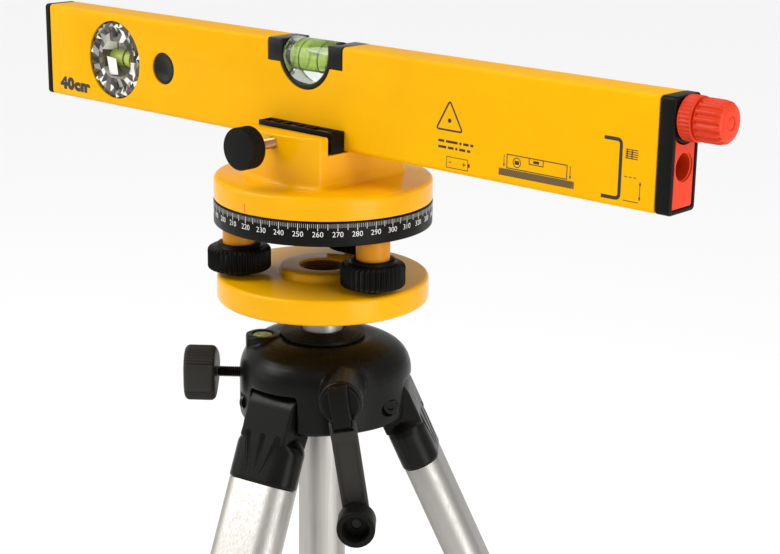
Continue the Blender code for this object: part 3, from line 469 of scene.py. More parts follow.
def settle(obj):
    """Replaces an object's mesh by what its modifiers make of it."""
    graph = bpy.context.evaluated_depsgraph_get()
    made = bpy.data.meshes.new_from_object(obj.evaluated_get(graph))
    obj.modifiers.clear()
    obj.data = made


def combine(obj, operation, place, *shapes):
    """Boolean of the object with each shape, applied straight away."""
    for bm in shapes:
        helper = mesh_from("helper", bm, place)
        modifier = obj.modifiers.new("boolean", "BOOLEAN")
        modifier.operation = operation
        modifier.solver = "EXACT"
        modifier.object = helper
        settle(obj)
        bpy.data.objects.remove(helper)


def cast(obj, voxel, rounds):
    """Turns joined shapes into one moulding with soft inside and outside corners; voxel in millimetres."""
    remesh = obj.modifiers.new("remesh", "REMESH")
    remesh.mode = "VOXEL"
    remesh.voxel_size = voxel * MM
    if rounds:
        smooth = obj.modifiers.new("smooth", "SMOOTH")
        smooth.factor = 0.5
        smooth.iterations = rounds
    settle(obj)


def add_bevel(obj, width, segments, angle):
    """Eases edges sharper than an angle in degrees; width in millimetres."""
    edge = obj.modifiers.new("bevel", "BEVEL")
    edge.width = width * MM
    edge.segments = segments
    edge.limit_method = "ANGLE"
    edge.angle_limit = math.radians(angle)


def finished(obj, body, material, slot, *nodes, bevel=0.0, crease=40):
    """Shades a piece, gives it its finish, and makes it ride on its body in place of CAD nodes."""
    if bevel:
        add_bevel(obj, bevel, 3, 35)
        settle(obj)
    obj.data.materials.clear()
    obj.data.materials.append(MATERIALS[material])
    obj.data.shade_smooth()
    obj.data.set_sharp_from_angle(angle=math.radians(crease))
    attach(obj, body)
    if nodes:
        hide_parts(*nodes)
    return obj


def keep_node(node, material, bevel=0.25):
    """Keeps a CAD node's shape, with its edges eased, and gives it a better material."""
    obj = frame["nodes"][node]
    weld = obj.modifiers.new("weld", "WELD")
    weld.merge_threshold = 0.00001
    if bevel:
        add_bevel(obj, bevel, 2, 40)
    split = obj.modifiers.new("split", "EDGE_SPLIT")
    split.split_angle = math.radians(38)
    obj.data.shade_smooth()
    obj.data.materials.clear()
    obj.data.materials.append(MATERIALS[material])


# More shapes --------------------------------------------------------------------------------------

def grown(outline, reach):
    """Offsets a closed anticlockwise outline outward by reach."""
    made = []
    count = len(outline)
    for i, (x, y) in enumerate(outline):
        before, after = Vector(outline[i - 1]), Vector(outline[(i + 1) % count])
        along = (after - before).normalized()
        made.append((x + along.y * reach, y - along.x * reach))
    return made


def rounded_ends(low, high, edge, steps=4):
    """(inset, level) pairs of a straight side whose two ends are rounded by edge."""
    pairs = []
    for k in range(steps + 1):
        turn = math.pi / 2 * k / steps
        pairs.append((edge * (1 - math.sin(turn)), low + edge * (1 - math.cos(turn))))
    return pairs + [(inset, low + high - level) for inset, level in reversed(pairs)]


def pillow(outline, low, high, edge, axis="Z"):
    """Prism of an anticlockwise outline whose two rims are rounded."""
    return skin([on_axis(grown(outline, -inset), level, axis) for inset, level in rounded_ends(low, high, edge)])


def drum(radius, low, high, edge, axis="Z", count=64, wave=None):
    """Cylinder whose two rims are rounded."""
    profile = [(radius - inset, level) for inset, level in rounded_ends(low, high, edge)]
    return turned(profile, axis, count, wave=wave)


def thread(radius, depth, pitch, low, high):
    """(radius, level) pairs of a V thread between two levels."""
    turns = max(1, round((high - low) / pitch))
    step = (high - low) / turns
    pairs = [(radius - depth, low)]
    for i in range(turns):
        pairs += [(radius, low + step * (i + 0.5)), (radius - depth, low + step * (i + 1))]
    return pairs


def ribs(count, depth, low, high, sharp=1.0):
    """Wave for turned(): ribs of the given depth between two levels, narrower with a larger sharp."""
    def wave(turn, radius, level):
        if not low <= level <= high:
            return 0.0
        return -depth * (0.5 - 0.5 * math.cos(count * turn)) ** sharp
    return wave


def ball(radii, segments, rings):
    """Ellipsoid with its three radii, centred on its frame."""
    bm = bmesh.new()
    bmesh.ops.create_uvsphere(bm, u_segments=segments, v_segments=rings, radius=1)
    return moved(bm, Matrix.Diagonal((*radii, 1)))


def joined(shapes):
    whole = bmesh.new()
    for bm in shapes:
        mesh = bpy.data.meshes.new("part")
        bm.to_mesh(mesh)
        bm.free()
        whole.from_mesh(mesh)
        bpy.data.meshes.remove(mesh)
    return whole


def ribbon(path, width, low, high, closed=False):
    """Flat stroke of even width along a path in the x-z plane, between two y levels."""
    sections = []
    count = len(path)
    for i, point in enumerate(path):
        here = Vector(point)
        before = Vector(path[i - 1]) if closed or i else here
        after = Vector(path[(i + 1) % count]) if closed or i < count - 1 else here
        into = (here - before).normalized() if here != before else (after - here).normalized()
        out = (after - here).normalized() if here != after else into
        along = (into + out).normalized()
        reach = width / 2 / max(0.35, along.dot(out))
        side = Vector((-along.y, along.x)) * reach
        a, b = here + side, here - side
        sections.append([Vector((a.x, low, a.y)), Vector((a.x, high, a.y)),
                         Vector((b.x, high, b.y)), Vector((b.x, low, b.y))])
    return skin(sections, closed)


def lettering(text, height, weight=0.0, depth=0.06, spacing=1.0):
    """Figures standing in the x-z plane, facing -y, centred on x, with their feet at z = 0."""
    cap_share = 0.73   # height of a figure over the size of Blender's own font
    curve = bpy.data.curves.new("letters", "FONT")
    curve.body = text
    curve.align_x = "CENTER"
    curve.space_character = spacing
    curve.size = height / cap_share
    curve.offset = weight
    curve.extrude = depth / 2
    curve.resolution_u = 4
    obj = bpy.data.objects.new("letters", curve)
    bpy.context.scene.collection.objects.link(obj)
    graph = bpy.context.evaluated_depsgraph_get()
    mesh = bpy.data.meshes.new_from_object(obj.evaluated_get(graph))
    bm = bmesh.new()
    bm.from_mesh(mesh)
    bpy.data.objects.remove(obj)
    bpy.data.curves.remove(curve)
    bpy.data.meshes.remove(mesh)
    return moved(bm, Matrix.Rotation(math.pi / 2, 4, "X"))


def bent(bm, radius, azimuth):
    """Wraps a flat shape in the x-z plane round an upright cylinder at an azimuth in degrees."""
    for vert in bm.verts:
        turn = math.radians(azimuth) + vert.co.x / radius
        r = radius - vert.co.y
        vert.co = Vector((r * math.cos(turn), r * math.sin(turn), vert.co.z))
    return bm


# Spirit level -------------------------------------------------------------------------------------

LEVEL_LOW, LEVEL_HIGH = local_box("level_profile", LEVEL)
LEVEL_DEPTH = LEVEL_HIGH.y - LEVEL_LOW.y
LEVEL_HEIGHT = LEVEL_HIGH.z
LEVEL_FACE = LEVEL_LOW.y
LEVEL_END = local_box("right_end_cap", LEVEL)[1].x
LEVEL_CORNER = 2.0
LEVEL_WALL = 1.6
GAP = 0.3
HOLDER_LOW, HOLDER_HIGH = local_box("vial_holder", LEVEL)
VIAL_X = (HOLDER_LOW.x + HOLDER_HIGH.x) / 2
VIAL_WINDOW_Z = 43.2
VIAL_WINDOW_R = 15.0
VIAL_NOTCH_R = 17.3
VIAL_NOTCH_Z = 37.4
AMPOULE_LOW, AMPOULE_HIGH = local_box("horizontal_ampoule", LEVEL)
AMPOULE_Z = (AMPOULE_LOW.z + AMPOULE_HIGH.z) / 2
AMPOULE_R = (AMPOULE_HIGH.z - AMPOULE_LOW.z) / 2
BARREL_R = local_box("horizontal_vial_block", LEVEL)[1].z - AMPOULE_Z
ROUND_LOW, ROUND_HIGH = local_box("round_vial_block", LEVEL)
ROUND_X = (ROUND_LOW.x + ROUND_HIGH.x) / 2
ROUND_Z = (ROUND_LOW.z + ROUND_HIGH.z) / 2
ROUND_R = (ROUND_HIGH.x - ROUND_LOW.x) / 2
BUTTON_LOW, BUTTON_HIGH = local_box("laser_button", LEVEL)
BUTTON_X = (BUTTON_LOW.x + BUTTON_HIGH.x) / 2
BUTTON_R = 7.8
APERTURE_Z = 19.0
APERTURE_R = 6.1
CAP_LOW, CAP_HIGH = local_box("battery_cap", LEVEL)
CAP_Z = (CAP_LOW.z + CAP_HIGH.z) / 2
INK = 0.05     # thickness of a printed mark


def level_section(inset, x):
    outline = rounded_box(LEVEL_DEPTH - 2 * inset, LEVEL_HEIGHT - 2 * inset, max(0.5, LEVEL_CORNER - inset))
    return on_axis(shifted(outline, 0, LEVEL_HEIGHT / 2), x, "X")


def notch_outline(grow, top):
    """Notch in the level's top edge: a rectangle whose middle dips in a half round."""
    radius = VIAL_NOTCH_R + grow
    floor = VIAL_NOTCH_Z - grow
    dip = math.degrees(math.asin((VIAL_WINDOW_Z - floor) / radius))
    left, right = HOLDER_LOW.x - GAP - grow, HOLDER_HIGH.x + GAP + grow
    round_part = arc((VIAL_X, VIAL_WINDOW_Z), radius, 180 + dip, 360 - dip, 40)
    return [(left, top), (left, floor)] + round_part + [(right, floor), (right, top)]


def window_outline(radius, top):
    lower = arc((VIAL_X, VIAL_WINDOW_Z), radius, 180, 360, 48)
    return [(VIAL_X - radius, top)] + lower + [(VIAL_X + radius, top)]


def make_level_body():
    left, right = LEVEL_LOW.x, LEVEL_HIGH.x
    outer = [level_section(inset, x) for inset, x in rounded_ends(left, right, 0.3, 2)]
    inner = [level_section(LEVEL_WALL, right), level_section(LEVEL_WALL, left)]
    body = mesh_from("level_shell", skin(outer + inner, ring=True), LEVEL)
    across = (LEVEL_FACE - 3, -LEVEL_FACE + 3)
    round_hole = rod(ROUND_R + GAP, 96, *across, "Y", (ROUND_X, ROUND_Z))
    button_hole = rod(BUTTON_R + GAP, 64, across[0], 0, "Y", (BUTTON_X, ROUND_Z))
    combine(body, "DIFFERENCE", LEVEL, prism(notch_outline(0, LEVEL_HEIGHT + 5), *across, "Y"))
    combine(body, "DIFFERENCE", LEVEL, round_hole, button_hole)
    finished(body, "level", "lacquer", "yellow_lacquer", "level_profile", bevel=0.3)


def end_block(low, high):
    return skin([level_section(inset, x) for inset, x in rounded_ends(low, high, 0.9)])


def make_level_ends():
    inner = LEVEL_LOW.x - GAP
    left = mesh_from("left_cap", end_block(-LEVEL_END, inner), LEVEL)
    plug = skin([level_section(LEVEL_WALL + GAP, inner - 1), level_section(LEVEL_WALL + GAP, inner + 8)])
    combine(left, "UNION", LEVEL, plug)
    finished(left, "level", "black", "black_plastic", "left_end_cap", bevel=0.2)
    outer = LEVEL_HIGH.x + GAP
    right = mesh_from("right_cap", end_block(outer, LEVEL_END), LEVEL)
    plug = skin([level_section(LEVEL_WALL + GAP, outer - 8), level_section(LEVEL_WALL + GAP, outer + 1)])
    combine(right, "UNION", LEVEL, plug)
    recess = prism(plate_outline(GAP), LEVEL_END - 2.4, LEVEL_END + 1, "X")
    beam_bore = rod(APERTURE_R + 0.5, 64, outer - 10, LEVEL_END + 1, "X", (0, APERTURE_Z))
    battery_bore = rod(5.8, 64, outer - 10, LEVEL_END + 1, "X", (0, CAP_Z))
    counterbore = rod(8.8, 64, LEVEL_END - 2, LEVEL_END + 1, "X", (0, CAP_Z))
    combine(right, "DIFFERENCE", LEVEL, recess, beam_bore, battery_bore, counterbore)
    finished(right, "level", "black", "black_plastic", "right_end_cap", bevel=0.2)


def plate_outline(grow):
    """Red end plate: a rectangle whose top edge is hollowed round the battery cap."""
    half = 7.2 + grow
    bottom = 2.2 - grow
    hollow_r = 10.8 - grow
    corner = 1.0
    reach = math.degrees(math.acos(half / hollow_r))
    hollow = arc((0, CAP_Z), hollow_r, 360 - reach, 180 + reach, 24)
    low_left = arc((-half + corner, bottom + corner), corner, 180, 270, 6)
    low_right = arc((half - corner, bottom + corner), corner, 270, 360, 6)
    return low_left + low_right + hollow


def make_laser_plate():
    face = LEVEL_END - 0.3
    plate = mesh_from("end_plate", pillow(plate_outline(0), LEVEL_END - 2.1, face, 0.35, "X"), LEVEL)
    combine(plate, "DIFFERENCE", LEVEL, rod(APERTURE_R, 96, 190, 210, "X", (0, APERTURE_Z)))
    liner = turned([
        (APERTURE_R + 0.3, face - 7), (APERTURE_R + 0.3, face - 0.5), (APERTURE_R - 0.5, face - 0.9),
        (APERTURE_R - 0.5, face - 7),
    ], "X", 96, ring=True)
    combine(plate, "UNION", LEVEL, moved(liner, lift(z=APERTURE_Z)))
    finished(plate, "level", "red", "red_plastic", "laser_end_plate")


def make_battery_cap():
    """Red twist cap: stem, fine-ribbed collar, groove, fluted barrel and rounded nose."""
    start, nose = LEVEL_END + 0.6, CAP_HIGH.x
    collar_r, barrel_r, stem_r = 9.4, 9.0, 5.5
    collar_end = start + 6.2
    profile = [(stem_r - 0.4, CAP_LOW.x), (stem_r, CAP_LOW.x + 0.4), (stem_r, start)]
    profile += [(collar_r - inset, x) for inset, x in rounded_ends(start, collar_end, 0.7)]
    profile += [(8.0, collar_end + 0.1), (8.0, collar_end + 0.9)]
    barrel = rounded_ends(collar_end + 1.0, nose, 0.5)[:5] + [(0, nose - 4), (0.15, nose - 2.6)]
    barrel += [(0.6, nose - 1.5), (1.3, nose - 0.7), (2.2, nose - 0.2), (3.0, nose)]
    profile += [(barrel_r - inset, x) for inset, x in barrel]
    profile += [(3.0, nose), (2.8, nose - 0.4), (2.3, nose - 0.45), (2.0, nose - 0.1), (1.6, nose - 0.05)]
    fine = ribs(34, 0.6, start + 0.6, collar_end - 0.6, 0.8)
    coarse = ribs(17, 1.0, collar_end + 1.4, nose - 1.0, 1.2)
    both = lambda turn, radius, level: fine(turn, radius, level) + coarse(turn, radius, level)
    cap = mesh_from("twist_cap", moved(turned(profile, "X", 320, wave=both), lift(z=CAP_Z)), LEVEL)
    finished(cap, "battery_cap", "red", "red_plastic", "battery_cap", crease=50)


def make_top_vial():
    side = -LEVEL_FACE - 0.1
    holder = mesh_from("vial_cradle", prism(notch_outline(-GAP, HOLDER_HIGH.z), -side, side, "Y"), LEVEL)
    window = prism(window_outline(VIAL_WINDOW_R, LEVEL_HEIGHT + 5), -20, 20, "Y")
    combine(holder, "DIFFERENCE", LEVEL, window)
    finished(holder, "level", "black_gloss", "black_plastic", "vial_holder", bevel=0.5)
    barrel = [(-BARREL_R, 20), (BARREL_R, 20)] + arc((0, AMPOULE_Z), BARREL_R, 0, 180, 40)
    clear_block = mesh_from("vial_block", prism(barrel, VIAL_X - 40, VIAL_X + 40, "X"), LEVEL)
    combine(clear_block, "INTERSECT", LEVEL, prism(window_outline(VIAL_WINDOW_R - GAP, 60), -20, 20, "Y"))
    overlap = 0.03   # the fluid wets its bore, so light bends once where they meet
    combine(clear_block, "DIFFERENCE", LEVEL, rod(AMPOULE_R - overlap, 64, -60, 60, "X", (0, AMPOULE_Z)))
    finished(clear_block, "level", "acrylic", "clear_acrylic", "horizontal_vial_block", bevel=0.3)
    reach = VIAL_WINDOW_R - 2.4
    filling = moved(drum(AMPOULE_R, -reach, reach, 2.0, "X"), lift(VIAL_X, 0, AMPOULE_Z))
    fluid = mesh_from("vial_fluid", filling, LEVEL)
    bubble = moved(ball((5.2, 3.4, 2.4), 32, 20), lift(VIAL_X + 1.0, 0, AMPOULE_Z + AMPOULE_R - 2.7))
    combine(fluid, "DIFFERENCE", LEVEL, bubble)
    finished(fluid, "level", "liquid", "vial_green", "horizontal_ampoule")
    lines = []
    inner, outer = AMPOULE_R + 0.02, AMPOULE_R + 0.14
    for x in (VIAL_X - 6.0, VIAL_X + 6.0):
        band = turned([(inner, x - 0.3), (outer, x - 0.3), (outer, x + 0.3), (inner, x + 0.3)], "X", 64, True)
        lines.append(moved(band, lift(z=AMPOULE_Z)))
    finished(mesh_from("vial_lines", joined(lines), LEVEL), "level", "ink", "black_plastic")


def make_button():
    front = BUTTON_LOW.y
    profile = [(0.5, front + 0.9), (2.5, front + 0.8), (4.6, front + 0.5), (6.2, front + 0.12), (7.0, front)]
    profile += [(BUTTON_R - 0.3, front + 0.12), (BUTTON_R, front + 0.5), (BUTTON_R, front + 1.9)]
    profile += [(BUTTON_R + 1, front + 1.9), (BUTTON_R + 1, front + 3.4), (3.0, front + 3.4), (3.0, BUTTON_HIGH.y)]
    button = mesh_from("push_button", moved(turned(profile, "Y", 96), lift(BUTTON_X, 0, ROUND_Z)), LEVEL)
    finished(button, "laser_button", "black_gloss", "black_plastic", "laser_button", crease=50)


# Printed marks on the level's front ---------------------------------------------------------------

def mark(name, ink, *shapes):
    finished(mesh_from(name, joined(shapes), LEVEL), "level", ink, "black_plastic", crease=20)


def line(path, width=0.28, closed=False):
    return ribbon(path, width, LEVEL_FACE - INK, LEVEL_FACE + INK, closed)


def patch(low_x, low_z, high_x, high_z):
    return block((low_x, high_x), (LEVEL_FACE - INK, LEVEL_FACE + INK), (low_z, high_z))


def arrow(x, top, tip):
    """Arrow between two heights, pointing to its tip."""
    back = tip + math.copysign(1.5, top - tip)
    head = prism([(x, tip), (x + 0.55, back), (x - 0.55, back)], LEVEL_FACE - INK, LEVEL_FACE + INK, "Y")
    return joined([line([(x, top), (x, back)]), head])


def frame_lines(low_x, low_z, high_x, high_z, width=0.28):
    return line([(low_x, low_z), (high_x, low_z), (high_x, high_z), (low_x, high_z)], width, True)


def make_prints():
    figures = lettering("40cm", 6.0, 0.62, spacing=1.14)
    spread = max(v.co.x for v in figures.verts) - min(v.co.x for v in figures.verts)
    bmesh.ops.scale(figures, vec=(25.5 / spread, 1, 1), verts=figures.verts)
    size_mark = moved(figures, lift(-175.7, LEVEL_FACE, 4.4))
    mark("size_mark", "ink", size_mark)
    triangle = line(soften([(78.2, 19.1), (93.1, 19.1), (85.65, 32.2)], 1.6, closed=True), 0.8, True)
    dot = rod(1.0, 28, LEVEL_FACE - INK, LEVEL_FACE + INK, "Y", (85.65, 23.4))
    mark("beam_mark", "ink", triangle, dot)
    dashes = []
    for z, lengths in ((13.5, (3.4, 6.6, 1.2, 3.0, 1.6)), (10.8, (4.6, 3.2, 1.2, 3.4, 1.8))):
        x = 79.5
        for length in lengths:
            dashes.append(patch(x, z, x + length, z + 1.1))
            x += length + 1.0
    mark("dash_rows", "ink", *dashes)
    cell = [frame_lines(84.5, 2.6, 96.5, 7.4), patch(96.6, 4.2, 97.6, 5.8), line([(85.6, 5), (87.2, 5)], 0.35)]
    cell += [line([(93.4, 5), (95.2, 5)], 0.35), line([(94.3, 4.1), (94.3, 5.9)], 0.35)]
    mark("battery_mark", "ink", *cell)
    level = [frame_lines(118, 7.5, 149.5, 13.4, 0.4), line(shifted(circle(2.0, 28), 123.3, 10.4), 0.35, True)]
    level += [line([(129.8, 13.2), (129.8, 10.8), (137.2, 10.8), (137.2, 13.2)], 0.35)]
    level += [arrow(116.4, 13.2, 7.6), arrow(151.2, 13.2, 7.6), patch(122.1, 9.6, 124.5, 11.2)]
    level += [patch(132, 11.4, 135, 12.6)]
    mark("level_mark", "ink", *level)
    hatching = [line([(x, 4.1), (x + 1.6, 6.8)], 0.22) for x in range(114, 152, 1)]
    mark("ground_mark", "ground_ink", patch(113.7, 3.9, 153.3, 7.0))
    mark("ground_hatching", "ink", *[moved(shape, lift(y=-0.03)) for shape in hatching])
    bracket = soften([(167.5, 28), (175.8, 28), (175.8, 3.7), (167, 3.7)], 2.0)
    mark("reach_bracket", "ink", line(bracket, 1.5))
    knob = [patch(178, z, 184, z + 0.35) for z in (20.8, 21.7, 22.6, 23.5, 24.4)]
    dashed = [patch(x, 13.2, x + 1.3, 13.5) for x in (178, 180.2, 182.4)]
    knob += [patch(178, 3.3, 185.2, 3.6), patch(178.6, 20.8, 179.0, 24.7), patch(181.0, 20.8, 181.4, 24.7)]
    mark("reach_mark", "ink", *knob, *dashed, arrow(185.7, 8, 4.2), arrow(185.7, 8, 12.2))


# Turntable, ring and clamp ------------------------------------------------------------------------

TABLE_R = 52.6
TABLE_TOP = 2.6
TABLE_BOTTOM = -8.4
SADDLE_HALF = 25.0
SADDLE_FRONT = -28.0
SADDLE_BULGE = 6.0
SADDLE_BACK = 31.0
SADDLE_FLOOR = 17.9
CHANNEL = (-23.0, 8.0)
JAW_TOP = local_box("turntable", COLUMN)[1].z
TURNTABLE_LOW = local_box("turntable", COLUMN)[0].z
INDEX_AZIMUTH = -89.4
RING_R, RING_BOTTOM, RING_TOP = disc_of("graduated_ring")
SCALE_START = 308.7    # the figure at azimuth zero
PAD_LOW, PAD_HIGH = local_box("clamp_pad", COLUMN)
CLAMP_Z = (COLUMN.inverted() @ Vector(JOINTS["clamp_spin"]["pos_m"])).z / MM
KNOB_LOW, KNOB_HIGH = local_box("clamp_knob", COLUMN)
SCREW_LOW, SCREW_HIGH = local_box("clamp_screw", COLUMN)


def saddle_outline():
    """Plan of the saddle, anticlockwise: straight sides and back, and a bulged front."""
    radius = (SADDLE_HALF ** 2 + SADDLE_BULGE ** 2) / (2 * SADDLE_BULGE)
    reach = math.degrees(math.asin(SADDLE_HALF / radius))
    centre = (0, SADDLE_FRONT - SADDLE_BULGE + radius)
    front = arc(centre, radius, 270 - reach, 270 + reach, 24)
    return soften(front + [(SADDLE_HALF, SADDLE_BACK), (-SADDLE_HALF, SADDLE_BACK)], 2.2, 5, closed=True)


def make_turntable():
    edge, fillet, spigot_r = 2.2, 3.0, 12.0
    profile = [(spigot_r - 0.6, TURNTABLE_LOW), (spigot_r, TURNTABLE_LOW + 0.6), (spigot_r, TABLE_BOTTOM)]
    profile += [(TABLE_R - inset, z) for inset, z in rounded_ends(TABLE_BOTTOM, 0, 0.5)[:5]]
    profile += [(TABLE_R - inset, z) for inset, z in rounded_ends(TABLE_BOTTOM, TABLE_TOP, edge, 8)[9:]]
    profile += [(20.0, TABLE_TOP)]
    table = mesh_from("turntable_body", turned(profile, count=192), COLUMN)
    steps = [(-fillet, 0.0)]
    for k in range(9):
        turn = math.pi / 2 * k / 8
        steps.append((-fillet * (1 - math.sin(turn)), TABLE_TOP - 0.02 + fillet * (1 - math.cos(turn))))
    steps += rounded_ends(0, JAW_TOP, 1.0, 6)[7:]
    outline = saddle_outline()
    saddle = skin([on_axis(grown(outline, -inset), z, "Z") for inset, z in steps])
    combine(table, "UNION", COLUMN, saddle)
    combine(table, "DIFFERENCE", COLUMN, block((-60, 60), CHANNEL, (SADDLE_FLOOR, 60)))
    combine(table, "DIFFERENCE", COLUMN, rod(2.8, 48, -60, CHANNEL[0] + 3, "Y", (0, CLAMP_Z)))
    finished(table, "turntable", "yellow", "yellow_plastic", "turntable", bevel=0.5)
    stroke = block((-0.28, 0.28), (-INK, INK), (TABLE_BOTTOM + 0.6, TABLE_BOTTOM + 5.0))
    index = bent(stroke, TABLE_R, INDEX_AZIMUTH)
    finished(mesh_from("index_mark", index, COLUMN), "turntable", "red_ink", "red_plastic")


def make_ring():
    inner = 12.3
    profile = [(inner, RING_BOTTOM)]
    profile += [(RING_R - inset, z) for inset, z in rounded_ends(RING_BOTTOM, RING_TOP, 0.6)]
    profile += [(inner, RING_TOP)]
    ring = mesh_from("scale_ring", turned(profile, count=192, ring=True), COLUMN)
    finished(ring, "column", "black", "ring_black", "graduated_ring")
    marks, fine = [], []
    top = RING_TOP - 0.7
    for degree in range(360):
        bold = degree % 5 == 0
        length = 3.2 if degree % 10 == 0 else 2.8 if bold else 1.9
        half = 0.11 if bold else 0.085
        tick = block((-half, half), (-INK, INK), (top - length, top))
        (marks if bold else fine).append(bent(tick, RING_R, degree - SCALE_START))
    for degree in range(0, 360, 10):
        figures = lettering(str(degree), 2.6, -0.035)
        moved(figures, lift(z=top - 6.1))
        marks.append(bent(figures, RING_R, degree - SCALE_START))
    finished(mesh_from("scale_degrees", joined(fine), COLUMN), "column", "grey_ink", "ring_black", crease=20)
    finished(mesh_from("scale_marks", joined(marks), COLUMN), "column", "white_ink", "ring_black", crease=20)


PAD_POCKETS = (   # start and end of each pocket, as shares of the pad's length
    (0.02, 0.17), (0.19, 0.27), (0.31, 0.47), (0.49, 0.57), (0.60, 0.65), (0.67, 0.92), (0.94, 0.985),
)


def make_clamp():
    pad = mesh_from("pressure_pad", block(*zip(PAD_LOW, PAD_HIGH)), COLUMN)
    length = PAD_HIGH.x - PAD_LOW.x
    deep = (PAD_LOW.y + 1.2, PAD_HIGH.y - 1.4)
    # Painted bounce light: brown blocks just under the pocket tops stand in for light reaching the black pocket
    # floors.
    painted_light_floors = []
    for start, end in PAD_POCKETS:
        span = (PAD_LOW.x + length * start, PAD_LOW.x + length * end)
        combine(pad, "DIFFERENCE", COLUMN, block(span, deep, (PAD_HIGH.z - 2.6, 40)))
        inside = (span[0] + 0.1, span[1] - 0.1), (deep[0] + 0.1, deep[1] - 0.1)
        painted_light_floors.append(block(*inside, (PAD_HIGH.z - 2.7, PAD_HIGH.z - 1.3)))
    finished(mesh_from("pad_floors_painted_light", joined(painted_light_floors), COLUMN), "clamp_pad", "painted_recess_brown", "black_plastic")
    finished(pad, "clamp_pad", "black", "black_plastic", "clamp_pad", bevel=0.3)
    radius = (SCREW_HIGH.x - SCREW_LOW.x) / 2
    tip = [(radius - 0.9, SCREW_HIGH.y)]
    shank = turned(thread(radius, 0.35, 0.8, SCREW_LOW.y, SCREW_HIGH.y - 0.9) + tip, "Y", 48)
    screw = mesh_from("clamp_thread", moved(shank, lift(0, 0, CLAMP_Z)), COLUMN)
    finished(screw, "clamp_screw", "brass", "brass", "clamp_screw")
    low, high = KNOB_LOW.y, KNOB_HIGH.y
    radius = (KNOB_HIGH.x - KNOB_LOW.x) / 2
    profile = [(radius - inset, y) for inset, y in rounded_ends(low, high - 0.4, 0.7, 4)] + [(4.8, high)]

    def knurl(turn, r, y):
        """Fine slanting ribs on the rim; both faces stay flat."""
        rim = radius - 0.4 < r
        return -0.28 * (0.5 - 0.5 * math.cos(64 * turn + 1.1 * (y - low))) if rim else 0.0

    profile[5:5] = [(radius, low + 0.7 + (high - low - 1.8) * k / 10) for k in range(1, 10)]
    knob = mesh_from("clamp_wheel", moved(turned(profile, "Y", 384, wave=knurl), lift(0, 0, CLAMP_Z)), COLUMN)
    finished(knob, "clamp_screw", "black", "black_plastic", "clamp_knob", crease=50)


# Levelling head -----------------------------------------------------------------------------------

PLATE_R, PLATE_FOOT, PLATE_BOSS_TOP = disc_of("base_plate")
PLATE_TOP = -46.3
PLATE_BOTTOM = -58.6
BOSS_R = 21.3
EYE_R = 9.2
FOOT_R = 21.0
POST_R = 8.0
NUT_R = 15.3
NUT_TOP = -32.4
NUT_BOTTOM = -43.5
NUT_COLLAR_R = 10.8
STUD_R = 3.0


def screw_place(number):
    low, high = local_box(f"post_{number}", COLUMN)
    return lift((low.x + high.x) / 2, (low.y + high.y) / 2, 0)


def make_levelling_screw(number):
    place = screw_place(number)
    low, high = local_box(f"post_{number}", COLUMN)
    profile = [(POST_R - inset, z) for inset, z in rounded_ends(low.z, high.z, 0.35)]
    profile += [(STUD_R + GAP, high.z), (STUD_R + GAP, low.z)]
    post = mesh_from(f"post_sleeve_{number}", moved(turned(profile, ring=True), place), COLUMN)
    finished(post, "column", "post", "yellow_plastic", f"post_{number}")
    low, high = local_box(f"levelling_nut_{number}", COLUMN)
    cup = POST_R + 0.4
    profile = [(6.4, low.z), (7.0, low.z + 0.6), (7.0, NUT_BOTTOM), (NUT_R - 1.8, NUT_BOTTOM)]
    profile += [(NUT_R - 0.6, NUT_BOTTOM + 0.35), (NUT_R, NUT_BOTTOM + 1.1), (NUT_R, NUT_TOP - 1.6)]
    profile += [(NUT_R - 0.5, NUT_TOP - 0.7), (NUT_R - 1.8, NUT_TOP), (NUT_COLLAR_R + 0.5, NUT_TOP + 0.1)]
    profile += [(NUT_COLLAR_R, NUT_TOP + 0.5), (NUT_COLLAR_R - 0.1, high.z - 0.4), (NUT_COLLAR_R - 0.5, high.z)]
    profile += [(cup, high.z), (cup, NUT_TOP - 2.2), (STUD_R + GAP, NUT_TOP - 2.2), (STUD_R + GAP, low.z)]
    grip = ribs(36, 1.3, NUT_BOTTOM + 0.2, NUT_TOP - 0.5, 0.7)
    nut = mesh_from(f"nut_wheel_{number}", moved(turned(profile, count=288, ring=True, wave=grip), place), COLUMN)
    finished(nut, f"levelling_nut_{number}", "black", "black_plastic", f"levelling_nut_{number}", crease=50)
    low, high = local_box(f"levelling_stud_{number}", COLUMN)
    shank = turned(thread(STUD_R, 0.3, 0.8, low.z, high.z - 1) + [(1.5, high.z)], count=48)
    stud = mesh_from(f"stud_thread_{number}", moved(shank, place), COLUMN)
    finished(stud, "column", "thread", "steel", f"levelling_stud_{number}")


